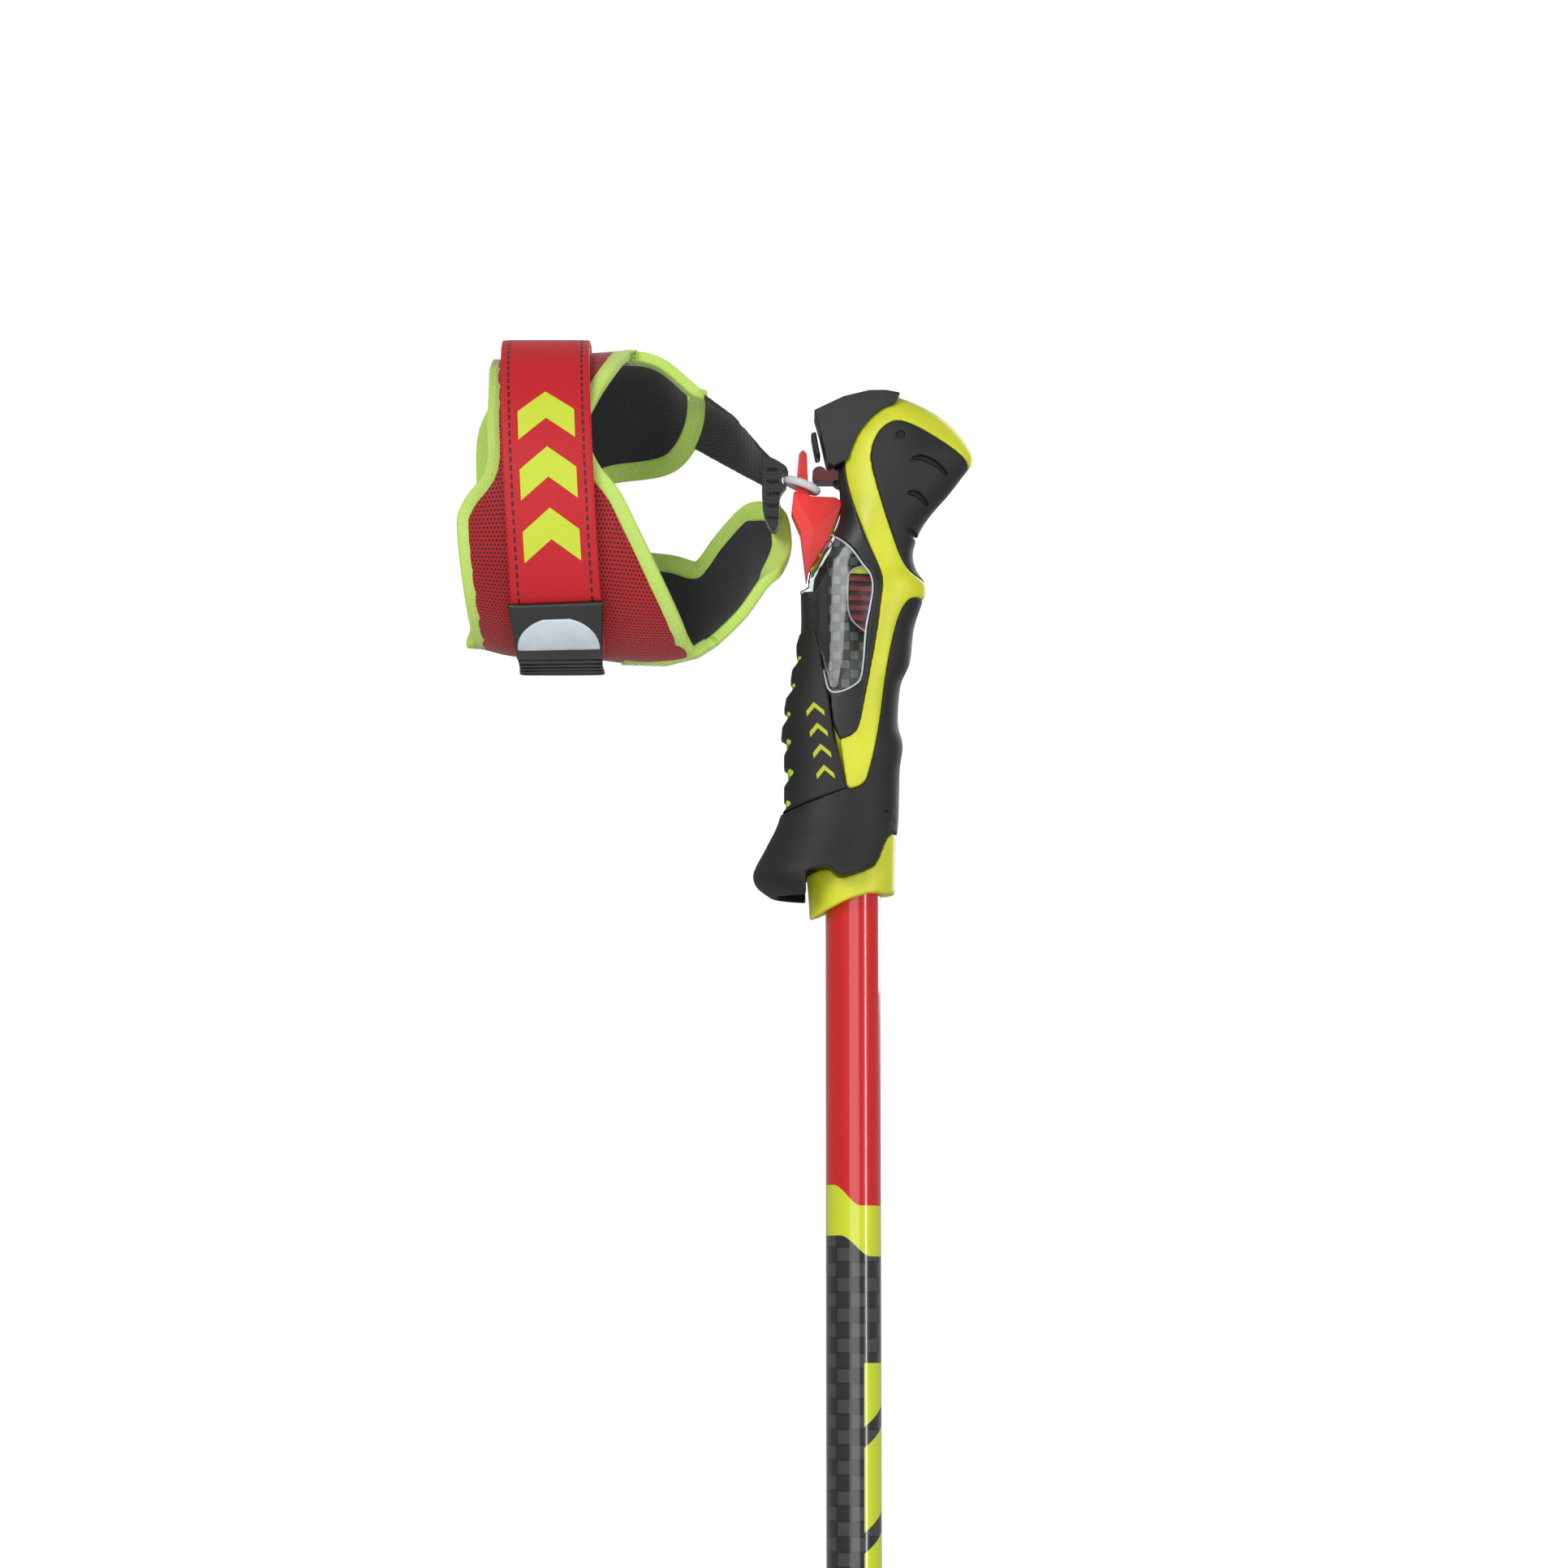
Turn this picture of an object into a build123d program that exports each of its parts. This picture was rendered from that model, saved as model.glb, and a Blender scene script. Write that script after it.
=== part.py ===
from build123d import *
import math
import os

# Alpine race ski pole with a releasable hand harness, right hand.
# Millimetres. The origin is the point of the tip, +Z runs up the shaft, +X is the
# finger side of the grip and -Y is the outside of the hand.
# Grip and harness outlines are pairs (x, drop): drop is the distance below the grip's top.

# ---- driving dimensions: pole ----
POLE_LENGTH = 1200.0
SHAFT_RADIUS = 8.0
SHAFT_WALL = 1.4
SHAFT_PARALLEL_FROM = 420.0      # the tube is parallel above this height
SHAFT_END_RADIUS = 5.6           # outer radius at the lower end
SHAFT_END_HEIGHT = 48.0
SHAFT_TOP_DROP = 95.0            # the tube ends this far below the grip's top
TIP_WALL = 1.9
TIP_SLEEVE_LENGTH = 46.0         # overlap of the tip over the tube
TIP_NOSE_RADIUS = 3.4
TIP_SHOULDER = 6.0               # parallel stretch below the tube's end
CARBIDE_RADIUS = 2.0
CARBIDE_LENGTH = 11.0
CARBIDE_SHANK_RADIUS = 1.6       # the part held in the seat, with a shoulder above the point
CARBIDE_SEAT = 5.0
BASKET_RADIUS = 26.0
BASKET_THICKNESS = 2.2
BASKET_HEIGHT = 66.0
BASKET_HUB_WALL = 3.0
BASKET_HUB_LENGTH = 13.0
BASKET_HOLES = 6
BASKET_HOLE_RADIUS = 4.4

# ---- driving dimensions: grip ----
PAD_THICKNESS = 2.4              # rubber and window shell over the hard core
CORE_TUBE_RADIUS = 5.8
CORE_TUBE_X = CORE_TUBE_RADIUS - (SHAFT_RADIUS - SHAFT_WALL / 2)  # it stands on the shaft's wall
CORE_TUBE_TOP_DROP = 43.0
PALM_TEETH = 6
TOOTH_DEPTH = 1.7
INLAY_RADIUS = 1.3

# ---- driving dimensions: release and trigger ----
LEVER_HALF_WIDTH = 8.6
LEVER_ARM_HALF_WIDTH = 3.0
LEVER_PIN_RADIUS = 1.0
LEVER_PIN_HALF_LENGTH = 11.0
LEVER_PIN_AT = (14.2, 13.6)      # x, drop
LEVER_SPRING_X = 4.0
LEVER_SPRING_DROPS = (14.8, 24.0)  # its upper and lower end
TRIGGER_HALF_WIDTH = 5.0
TRIGGER_PIN_RADIUS = 1.25
TRIGGER_PIN_HALF_LENGTH = 6.9
TRIGGER_EAR_WALL = 1.25
TRIGGER_PIN_AT = (-1.3, 34.0)    # x, drop: inside the side frame
PRONG_HALF_WIDTH = 2.0
SLOT_CLEARANCE = 0.35            # beside a moving piece
PIN_CLEARANCE = 0.05             # radial, running fit
CATCH_RADIUS = 2.1
CATCH_AT = (-9.7, 24.1)
SPRING_WIRE_RADIUS = 0.3
LEVER_SPRING_RADIUS = 1.5
TRIGGER_SPRING_RADIUS = 1.9
TRIGGER_SPRING_HALF_LENGTH = 1.8
SPRING_TURNS = 5

# ---- driving dimensions: harness ----
CORD_RADIUS = 1.3
LOOP_RADIUS = 4.6                # centre line of the cord loop
LOOP_AT = (-14.9, 26.9)          # x, drop of its centre
LOOP_TILT = 20.0                 # degrees, finger side low
KNOT_HALF_WIDTH = 3.4
KNOT_SPARE = 0.35                # more room in the knot, because the loop curves
PANEL_THICKNESS = 2.5
BINDING_WIDTH = 3.0
BELT_WIDTH = 26.0
BELT_THICKNESS = 1.4
BELT_GAP = 0.75                  # between the belt's layers, with the patch in it
PATCH_THICKNESS = 0.4
BELT_FROM_X = -102.5
TAB_THICKNESS = 1.8
RING_BAR = 1.5                   # radius of the ring's bars
RING_INSIDE = 6.0                # clear length of its slot

# ---- sections: (drop, rear x, front x, half width) ----
GRIP_SECTIONS = [
    (0.8, 9.5, 14.5, 2.5), (3.0, 5.6, 20.0, 6.5), (7.0, 1.8, 27.0, 9.5),
    (12.0, -2.0, 32.3, 11.3), (17.5, -4.5, 35.7, 12.2), (20.5, -5.2, 35.6, 12.3),
    (24.0, -5.8, 33.0, 12.4), (29.5, -5.5, 28.8, 12.4), (35.6, -5.2, 23.5, 12.2),
    (41.0, -6.6, 20.0, 12.0), (47.5, -11.0, 18.0, 12.0), (52.5, -14.2, 19.0, 12.2),
    (57.5, -15.4, 22.0, 12.8), (63.0, -15.4, 20.4, 13.0), (70.0, -15.4, 18.2, 13.3),
    (80.0, -16.3, 17.0, 13.8), (87.0, -17.0, 14.2, 14.0), (98.0, -18.0, 13.4, 14.2),
    (104.6, -18.0, 14.8, 14.2), (112.0, -18.0, 13.9, 14.2), (123.0, -17.5, 13.5, 13.8),
    (132.0, -16.0, 12.8, 13.2), (145.0, -13.5, 12.4, 12.2), (158.0, -12.6, 11.8, 11.6),
]
PALM_SECTIONS = [
    (70.0, -16.2, 18.0, 13.3), (80.0, -18.0, 17.0, 13.9), (90.0, -20.2, 14.2, 14.3),
    (99.0, -21.4, 13.4, 14.6), (112.0, -21.2, 13.9, 14.6), (128.0, -22.4, 13.5, 14.6),
]
REST_SECTIONS = [
    (112.0, -18.6, 13.9, 14.3), (126.0, -21.6, 13.5, 15.0), (134.2, -25.0, 12.8, 16.6),
    (143.0, -29.3, 12.5, 18.5), (146.0, -28.8, 12.4, 18.4), (150.0, -24.0, 12.0, 16.8),
]
REST_HOLLOW_SECTIONS = [
    (131.0, -18.0, 4.0, 11.5), (143.0, -26.3, 4.0, 15.6), (151.0, -25.4, 4.0, 15.2),
]

# ---- outlines on the grip's side ----
BAND_REAR = [
    (13.7, 0.0), (9.0, 2.9), (4.4, 6.7), (0.6, 11.7), (-1.8, 17.4), (-2.0, 24.1),
    (0.1, 33.4), (3.9, 44.4), (8.5, 55.6), (8.0, 64.5), (6.3, 76.4), (3.0, 93.8),
    (1.6, 100.3), (-0.4, 103.2), (-3.9, 104.6),
]
BAND_FRONT = [
    (-1.9, 118.9), (0.1, 118.9), (3.0, 117.3), (4.7, 113.2), (7.3, 101.3), (9.7, 83.8),
    (12.1, 72.1), (14.2, 65.7), (16.6, 62.3), (19.0, 61.6),
]
UPPER_PAD_EDGE = [
    (20.4, 55.9), (15.2, 51.6), (10.6, 40.4), (7.0, 28.4), (5.4, 20.1), (7.0, 16.0),
    (10.1, 10.7), (14.2, 9.3), (21.4, 12.4), (32.8, 19.6),
]
WINDOW_EDGE = [
    (-6.1, 42.5), (-0.4, 47.3), (3.2, 52.3), (5.6, 55.6), (6.3, 59.7), (5.4, 65.7),
    (4.2, 72.4), (3.0, 85.3), (0.6, 88.8), (-3.9, 90.7), (-6.8, 89.6), (-8.2, 84.0),
    (-10.8, 73.0), (-13.0, 71.0),
]
PALM_EDGE = [(-13.0, 71.0), (-10.8, 73.0), (-6.8, 92.2), (-5.9, 100.3), (-1.9, 118.9)]
COLLAR_EDGE = [
    (-14.0, 143.5), (-7.5, 142.1), (-3.9, 144.8), (3.2, 142.8), (6.6, 140.4),
    (9.7, 133.3), (11.3, 131.3),
]
COLLAR_RIM = [(-16.0, 158.0), (-10.1, 155.2), (-1.8, 151.2), (4.7, 149.2), (9.4, 149.2)]
TRIGGER_OUTLINE = [
    (-13.4, 29.9), (-12.5, 30.8), (-4.9, 31.2), (-2.7, 32.7), (-6.3, 42.0), (-9.7, 50.1),
    (-13.7, 56.1), (-15.4, 41.8), (-18.0, 35.6), (-17.3, 29.4),
]
PRONG_OUTLINE = [
    (-14.6, 16.2), (-13.4, 17.6), (-12.9, 30.0), (-16.9, 30.0), (-15.8, 17.6),
]
TRIGGER_SLOT = [
    (-24.0, 26.5), (-3.0, 27.5), (0.7, 30.4), (2.1, 32.6), (2.1, 35.6), (1.0, 37.4),
    (-3.4, 43.5), (-6.9, 51.6),
    (-11.0, 58.8), (-24.0, 58.8),
]
LEVER_OUTLINE = [
    (8.6, -0.2), (4.9, -0.3), (-2.5, 1.5), (-11.3, 5.7), (-9.7, 11.2), (-7.9, 19.5),
    (-7.3, 20.8), (-6.5, 19.6), (-6.0, 15.5), (-4.2, 10.8), (-0.8, 5.9), (3.6, 2.4), (7.9, 0.8),
]
LEVER_ARM = [(-4.0, 4.0), (3.0, 3.4), (9.0, 9.0), (14.2, 10.6), (14.2, 16.6), (-5.5, 12.0)]
LEVER_SLOT = [
    (-12.0, -3.0), (7.5, -3.0), (8.5, 6.0), (14.0, 8.8), (19.0, 9.6), (19.0, 18.6),
    (10.0, 18.6), (-8.0, 15.0), (-12.0, 15.0),
]
TRIGGER_REACH = [
    (-24.0, 40.0), (-4.6, 40.0), (-5.0, 43.0), (-7.6, 50.5), (-11.0, 58.8), (-24.0, 58.8),
]
CATCH_WEB = [(-9.7, 23.2), (-3.0, 23.2), (-3.0, 26.2), (-9.7, 26.2)]

# ---- harness: tube about the hand, sections (x, drop of centre, half height, half depth) ----
TUBE_SECTIONS = [
    (-115.0, 34.0, 40.0, 27.0), (-100.0, 33.0, 45.0, 31.0), (-80.0, 33.0, 45.5, 32.0),
    (-60.0, 34.0, 46.5, 31.0), (-46.0, 38.0, 40.0, 26.0), (-34.0, 37.0, 31.0, 19.0),
    (-27.0, 37.0, 21.5, 13.0), (-19.0, 35.0, 12.5, 8.0),
]
PALM_PANEL = [
    (-110.0, 9.0), (-105.0, -2.0), (-98.0, -20.0), (-62.0, -20.0), (-52.9, -10.3),
    (-47.1, -4.3), (-46.0, 0.5), (-47.6, 6.9), (-51.7, 12.9), (-57.7, 16.0), (-72.0, 17.7),
    (-78.0, 21.0), (-80.0, 29.0), (-78.0, 37.0), (-72.0, 42.5), (-64.8, 44.4), (-54.1, 46.1),
    (-47.1, 48.5), (-43.6, 46.8), (-38.8, 40.4), (-31.6, 33.2), (-26.9, 32.5), (-22.5, 34.5),
    (-21.0, 40.0), (-21.5, 47.3), (-26.9, 58.0), (-34.0, 67.6), (-41.2, 76.0), (-46.0, 90.0),
    (-105.0, 90.0), (-111.0, 70.0), (-109.0, 50.0), (-110.0, 30.0),
]
BACK_PANEL = [
    (-104.5, 8.0), (-101.0, -20.0), (-66.0, -20.0), (-68.9, -10.0), (-76.3, 4.8),
    (-80.0, 16.0), (-76.0, 27.2), (-69.6, 35.6), (-64.8, 44.9), (-58.9, 56.8), (-50.5, 74.7),
    (-46.0, 90.0), (-104.0, 90.0), (-109.5, 73.0), (-113.0, 46.0), (-111.5, 38.0), (-104.5, 27.5),
]
WEBBING = [
    (-50.0, 1.0), (-44.0, -1.0), (-35.0, 5.7), (-26.9, 15.3), (-20.5, 22.0), (-21.5, 30.0),
    (-26.0, 25.5), (-34.0, 20.0), (-46.0, 12.5), (-52.0, 9.5),
]
KNOT = [
    (-26.0, 19.5), (-20.4, 21.0), (-18.9, 23.4), (-18.9, 26.6), (-21.4, 30.5), (-22.0, 39.5),
    (-24.0, 40.5), (-26.5, 34.0),
]


def height(drop):
    """Height above the tip of a point that lies so far below the grip's top."""
    return POLE_LENGTH - drop


def loft_sections(sections, inset=0.0):
    """Upright body through elliptical sections, optionally drawn in all round."""
    faces = []
    for drop, rear, front, half in sections:
        place = Pos((rear + front) / 2, 0, height(drop))
        faces.append(place * Ellipse((front - rear) / 2 - inset, half - inset))
    return loft(faces, ruled=True)


def side_slab(outline, low_y, high_y):
    """Prism across the grip from a side outline of (x, drop) pairs."""
    corners = [(x, low_y, height(drop)) for x, drop in outline]
    face = make_face(Polyline(*corners, close=True))
    return extrude(face, amount=high_y - low_y, dir=(0, 1, 0))


def slab(outline, half_width=60.0):
    return side_slab(outline, -half_width, half_width)


def cross_rod(radius, at, half_length):
    """Round bar across the grip, on the axis at (x, drop)."""
    x, drop = at
    return Pos(x, 0, height(drop)) * Rot(90, 0, 0) * Cylinder(radius, 2 * half_length)


def coil(radius, length):
    """Wire coil along +Z from the origin."""
    pitch = length / SPRING_TURNS
    path = Helix(pitch, length, radius)
    wire = Plane(origin=path @ 0, z_dir=path % 0) * Circle(SPRING_WIRE_RADIUS)
    return sweep(wire, path=path, is_frenet=True)


# ---- shared forms of the grip ----
grip_form = loft_sections(GRIP_SECTIONS)
core_form = loft_sections(GRIP_SECTIONS[1:], PAD_THICKNESS)
grip_shell = grip_form - core_form
shaft_bore = Pos(0, 0, height(SHAFT_TOP_DROP)) * Cylinder(
    SHAFT_RADIUS, 100.0, align=(Align.CENTER, Align.CENTER, Align.MAX))
core_tube_bar = Pos(CORE_TUBE_X, 0, height(SHAFT_TOP_DROP)) * Cylinder(
    CORE_TUBE_RADIUS, SHAFT_TOP_DROP - CORE_TUBE_TOP_DROP,
    align=(Align.CENTER, Align.CENTER, Align.MIN))
trigger_slot = slab(TRIGGER_SLOT, TRIGGER_HALF_WIDTH + SLOT_CLEARANCE)
lever_slot = slab(LEVER_SLOT, LEVER_ARM_HALF_WIDTH + SLOT_CLEARANCE)
window_region = WINDOW_EDGE + [(-24.0, 71.0), (-24.0, 42.5)]
collar_region = COLLAR_EDGE + [(18.0, 131.3), (18.0, 149.2)] + COLLAR_RIM[::-1] + [(-18.0, 143.5)]
below_rim = COLLAR_RIM + [(18.0, 149.2), (18.0, 170.0), (-18.0, 170.0), (-18.0, 158.0)]
band_region = BAND_REAR + BAND_FRONT + [(26.0, 61.6), (26.0, 55.9)] + UPPER_PAD_EDGE + [
    (44.0, 20.0), (44.0, -4.0), (13.7, -4.0)]
trigger_axis_bore = cross_rod(TRIGGER_PIN_RADIUS, TRIGGER_PIN_AT, TRIGGER_PIN_HALF_LENGTH)
lever_axis_bore = cross_rod(LEVER_PIN_RADIUS, LEVER_PIN_AT, LEVER_PIN_HALF_LENGTH)
spring_pocket = Pos(LEVER_SPRING_X, 0, height(LEVER_SPRING_DROPS[1])) * Cylinder(
    LEVER_SPRING_RADIUS + SPRING_WIRE_RADIUS + SLOT_CLEARANCE,
    LEVER_SPRING_DROPS[1] - LEVER_SPRING_DROPS[0] + 2.0,
    align=(Align.CENTER, Align.CENTER, Align.MIN))


def make_shaft_tube():
    """Tapered below, parallel above, hollow all the way."""
    top = height(SHAFT_TOP_DROP)
    outline = [
        (SHAFT_END_RADIUS - SHAFT_WALL, SHAFT_END_HEIGHT), (SHAFT_END_RADIUS, SHAFT_END_HEIGHT),
        (SHAFT_RADIUS, SHAFT_PARALLEL_FROM), (SHAFT_RADIUS, top), (SHAFT_RADIUS - SHAFT_WALL, top),
        (SHAFT_RADIUS - SHAFT_WALL, SHAFT_PARALLEL_FROM),
    ]
    face = make_face(Polyline(*[(r, 0, z) for r, z in outline], close=True))
    return revolve(face, Axis.Z)


def shaft_radius_at(z):
    share = (z - SHAFT_END_HEIGHT) / (SHAFT_PARALLEL_FROM - SHAFT_END_HEIGHT)
    return SHAFT_END_RADIUS + share * (SHAFT_RADIUS - SHAFT_END_RADIUS)


def tip_outline():
    """Outer half profile of the tip, from the axis at the point to the sleeve's top."""
    sleeve_top = SHAFT_END_HEIGHT + TIP_SLEEVE_LENGTH
    r_top = shaft_radius_at(sleeve_top)
    seat = CARBIDE_LENGTH - CARBIDE_SEAT
    return [
        (0, seat), (TIP_NOSE_RADIUS, seat), (SHAFT_END_RADIUS + TIP_WALL, SHAFT_END_HEIGHT - TIP_SHOULDER),
        (SHAFT_END_RADIUS + TIP_WALL, SHAFT_END_HEIGHT), (r_top + TIP_WALL, sleeve_top - 4.0),
        (r_top + 0.6, sleeve_top), (0, sleeve_top),
    ]


def turned(outline):
    return revolve(make_face(Polyline(*[(r, 0, z) for r, z in outline], close=True)), Axis.Z)


def make_tip_sleeve(tip_form):
    """Plastic tip: a sleeve over the tube's end, then a slim nose with the carbide's seat."""
    sleeve_top = SHAFT_END_HEIGHT + TIP_SLEEVE_LENGTH
    socket = turned([
        (0, SHAFT_END_HEIGHT), (SHAFT_END_RADIUS, SHAFT_END_HEIGHT),
        (shaft_radius_at(sleeve_top), sleeve_top), (0, sleeve_top)])
    seat = Cylinder(CARBIDE_SHANK_RADIUS, CARBIDE_LENGTH, align=(Align.CENTER, Align.CENTER, Align.MIN))
    return tip_form - socket - seat


def make_carbide_tip():
    """Hard metal pin with a hollow crown at the point."""
    pin = Cylinder(CARBIDE_RADIUS, CARBIDE_LENGTH - CARBIDE_SEAT, align=(Align.CENTER, Align.CENTER, Align.MIN))
    pin += Cylinder(CARBIDE_SHANK_RADIUS, CARBIDE_LENGTH, align=(Align.CENTER, Align.CENTER, Align.MIN))
    crown = Cone(CARBIDE_RADIUS - 0.5, 0.3, 1.4, align=(Align.CENTER, Align.CENTER, Align.MIN))
    return pin - crown


def make_basket(tip_form):
    """Flat race basket with a hub that grips the tip sleeve."""
    hub_radius = shaft_radius_at(BASKET_HEIGHT) + TIP_WALL + BASKET_HUB_WALL
    plate = Pos(0, 0, BASKET_HEIGHT) * Cylinder(BASKET_RADIUS, BASKET_THICKNESS)
    plate = fillet(plate.edges(), BASKET_THICKNESS * 0.3)
    hub = Pos(0, 0, BASKET_HEIGHT) * Cylinder(hub_radius, BASKET_HUB_LENGTH)
    hole_circle = (hub_radius + BASKET_RADIUS) / 2
    for index in range(BASKET_HOLES):
        turn = Rot(0, 0, index * 360.0 / BASKET_HOLES)
        plate -= turn * Pos(hole_circle, 0, BASKET_HEIGHT) * Cylinder(BASKET_HOLE_RADIUS, 10.0)
    return plate + hub - tip_form


def make_core_tube():
    """Carbon tube that stands on the shaft and shows behind the window."""
    bar = core_tube_bar & slab(window_region, 30.0) & core_form
    bar -= slab(TRIGGER_REACH, 30.0)
    foot = core_tube_bar & slab([(-20, 84), (20, 84), (20, 100), (-20, 100)], 30.0)
    return bar + foot


def make_grip_core(core_tube):
    """Hard moulding: the inner form, the raised side bands and the collar."""
    body = core_form + (grip_form & slab(band_region)) + (grip_form & slab(collar_region))
    body -= slab(window_region, 30.0)
    body -= slab(below_rim)
    body -= core_tube
    body -= shaft_bore
    body -= trigger_slot
    body -= lever_slot
    body -= trigger_axis_bore
    body -= lever_axis_bore
    body -= spring_pocket
    return body


def make_damper():
    """Ribbed insert between the core tube and the front wall of the window."""
    left = CORE_TUBE_X + CORE_TUBE_RADIUS + 0.2
    spine = side_slab([(left + 0.8, 54.0), (7.0, 56.0), (7.0, 61.0), (left + 0.8, 71.0)], -4.0, 4.0)
    ribs = spine
    for index in range(4):
        drop = 55.0 + 3.2 * index
        ribs += side_slab([(left, drop), (left + 1.2, drop), (left + 1.2, drop + 1.7), (left, drop + 1.7)], -5.0, 5.0)
    return ribs & slab(window_region, 30.0)


def make_upper_pad():
    pad = grip_shell & slab(UPPER_PAD_EDGE + [(44.0, 20.0), (44.0, 55.9)])
    return pad - lever_axis_bore


def make_side_frame():
    """Black frame between the bands and the window, one piece on each side."""
    region = BAND_REAR[1:] + PALM_EDGE[3:1:-1] + WINDOW_EDGE[10::-1] + [(-16.0, 42.5), (-16.0, -3.0), (9.0, -3.0)]
    return (grip_shell & slab(region)) - trigger_slot - lever_slot - trigger_axis_bore


def make_window():
    shell = (grip_shell & slab(window_region)) - trigger_slot
    return shell


def make_grip_rubber():
    """Finger scallops and the flared, hollow hand rest, in one rubber moulding."""
    region = (
        [(26.0, 61.6)] + BAND_FRONT[::-1] + [(-23.5, 126.3), (-34.0, 134.0), (-34.0, 153.0), (-13.5, 153.0)]
        + COLLAR_EDGE + [(26.0, 131.3)])
    body = (grip_form + loft_sections(REST_SECTIONS)) - core_form
    body -= loft_sections(REST_HOLLOW_SECTIONS)
    return body & slab(region)


def palm_outline():
    """Serrated rear edge from the top of the pad to the hand rest."""
    top, bottom = 72.2, 125.9
    step = (bottom - top) / (PALM_TEETH + 1)
    points = []
    for index in range(PALM_TEETH + 1):
        drop = top + step * index
        rear = palm_rear(drop)
        points.append((rear + TOOTH_DEPTH, drop))
        points.append((rear - 0.3, drop + 0.55 * step))
        points.append((rear - 0.2, drop + 0.9 * step))
    return points + [(-23.5, 126.3)]


def palm_rear(drop):
    """Rear face of the palm pad at a given drop, from its sections."""
    for low, high in zip(PALM_SECTIONS, PALM_SECTIONS[1:]):
        if low[0] <= drop <= high[0]:
            share = (drop - low[0]) / (high[0] - low[0])
            return low[1] + share * (high[1] - low[1])
    return PALM_SECTIONS[-1][1]


def inlay_places():
    top, bottom = 72.2, 125.9
    step = (bottom - top) / (PALM_TEETH + 1)
    drops = [top + step * (index + 1) for index in range(PALM_TEETH)]
    return [(palm_rear(drop) + TOOTH_DEPTH + 0.6, drop) for drop in drops]


def make_palm_pad(inlays):
    form = loft_sections(PALM_SECTIONS) - core_form
    region = palm_outline() + PALM_EDGE[::-1]
    return (form & slab(region)) - inlays


def make_palm_inlays():
    """Soft inlays in the notches of the palm pad."""
    rods = None
    for place in inlay_places():
        rod = cross_rod(INLAY_RADIUS, place, 7.0)
        rods = rod if rods is None else rods + rod
    return rods & (loft_sections(PALM_SECTIONS) - core_form)


def make_release_lever():
    """Fan-shaped push lever on a narrow arm that reaches the pin in the head."""
    fan = slab(LEVER_OUTLINE, LEVER_HALF_WIDTH) - grip_form
    arm = slab(LEVER_ARM, LEVER_ARM_HALF_WIDTH)
    lever = fan + arm + cross_rod(LEVER_PIN_RADIUS + 2.0, LEVER_PIN_AT, LEVER_ARM_HALF_WIDTH)
    return lever - cross_rod(LEVER_PIN_RADIUS + PIN_CLEARANCE, LEVER_PIN_AT, 10.0)


def make_trigger():
    """Red trigger with the prong that holds the strap's loop."""
    body = slab(TRIGGER_OUTLINE, TRIGGER_HALF_WIDTH) + slab(PRONG_OUTLINE, PRONG_HALF_WIDTH)
    body += cross_rod(TRIGGER_PIN_RADIUS + TRIGGER_EAR_WALL, TRIGGER_PIN_AT, TRIGGER_HALF_WIDTH)
    body -= cross_rod(
        TRIGGER_SPRING_RADIUS + SPRING_WIRE_RADIUS + SLOT_CLEARANCE, TRIGGER_PIN_AT,
        TRIGGER_SPRING_HALF_LENGTH + SPRING_WIRE_RADIUS + SLOT_CLEARANCE)
    return body - cross_rod(TRIGGER_PIN_RADIUS + PIN_CLEARANCE, TRIGGER_PIN_AT, 12.0)


def make_lever_spring():
    """Compression spring in its pocket under the lever's arm."""
    upper, lower = LEVER_SPRING_DROPS
    length = lower - upper - 2 * SPRING_WIRE_RADIUS
    place = Pos(LEVER_SPRING_X, 0, height(lower) + SPRING_WIRE_RADIUS)
    return place * coil(LEVER_SPRING_RADIUS, length)


def make_trigger_spring():
    """Torsion spring round the trigger's pin, in a groove of the trigger."""
    x, drop = TRIGGER_PIN_AT
    half = TRIGGER_SPRING_HALF_LENGTH
    place = Pos(x, half, height(drop)) * Rot(90, 0, 0)
    return place * coil(TRIGGER_SPRING_RADIUS, 2 * half)


def make_catch():
    """Fixed catch behind the prong: it keeps the loop from slipping off."""
    rod = cross_rod(CATCH_RADIUS, CATCH_AT, TRIGGER_HALF_WIDTH)
    return (rod + slab(CATCH_WEB, TRIGGER_HALF_WIDTH)) - grip_form


def make_strap_loop():
    x, drop = LOOP_AT
    return Pos(x, 0, height(drop)) * Rot(0, LOOP_TILT, 0) * Torus(LOOP_RADIUS, CORD_RADIUS)


def loop_hinge():
    """Where the knot turns on the loop: the rear of the loop's centre line."""
    x, drop = LOOP_AT
    tilt = math.radians(LOOP_TILT)
    return (x - LOOP_RADIUS * math.cos(tilt), drop - LOOP_RADIUS * math.sin(tilt))


def make_knot():
    """Bar-tacked webbing that is sewn round the rear of the loop, free to turn on it."""
    room = CORD_RADIUS + SLOT_CLEARANCE + KNOT_SPARE
    return slab(KNOT, KNOT_HALF_WIDTH) - cross_rod(room, loop_hinge(), 2 * KNOT_HALF_WIDTH)


def harness_form(grow):
    """Tube about the hand, grown or drawn in by an amount."""
    faces = []
    for x, drop, half_height, half_depth in TUBE_SECTIONS:
        plane = Plane(origin=(x, 0, height(drop)), x_dir=(0, 1, 0), z_dir=(1, 0, 0))
        faces.append(plane * Ellipse(half_depth + grow, half_height + grow))
    return loft(faces, ruled=True)


harness_shell = harness_form(0.0) - harness_form(-PANEL_THICKNESS)
FAR = 60.0


def inner_outline(outline, low_y, high_y):
    corners = [(x, low_y, height(drop)) for x, drop in outline]
    face = make_face(Polyline(*corners, close=True))
    return extrude(offset(face, amount=-BINDING_WIDTH), amount=high_y - low_y, dir=(0, 1, 0))


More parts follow.
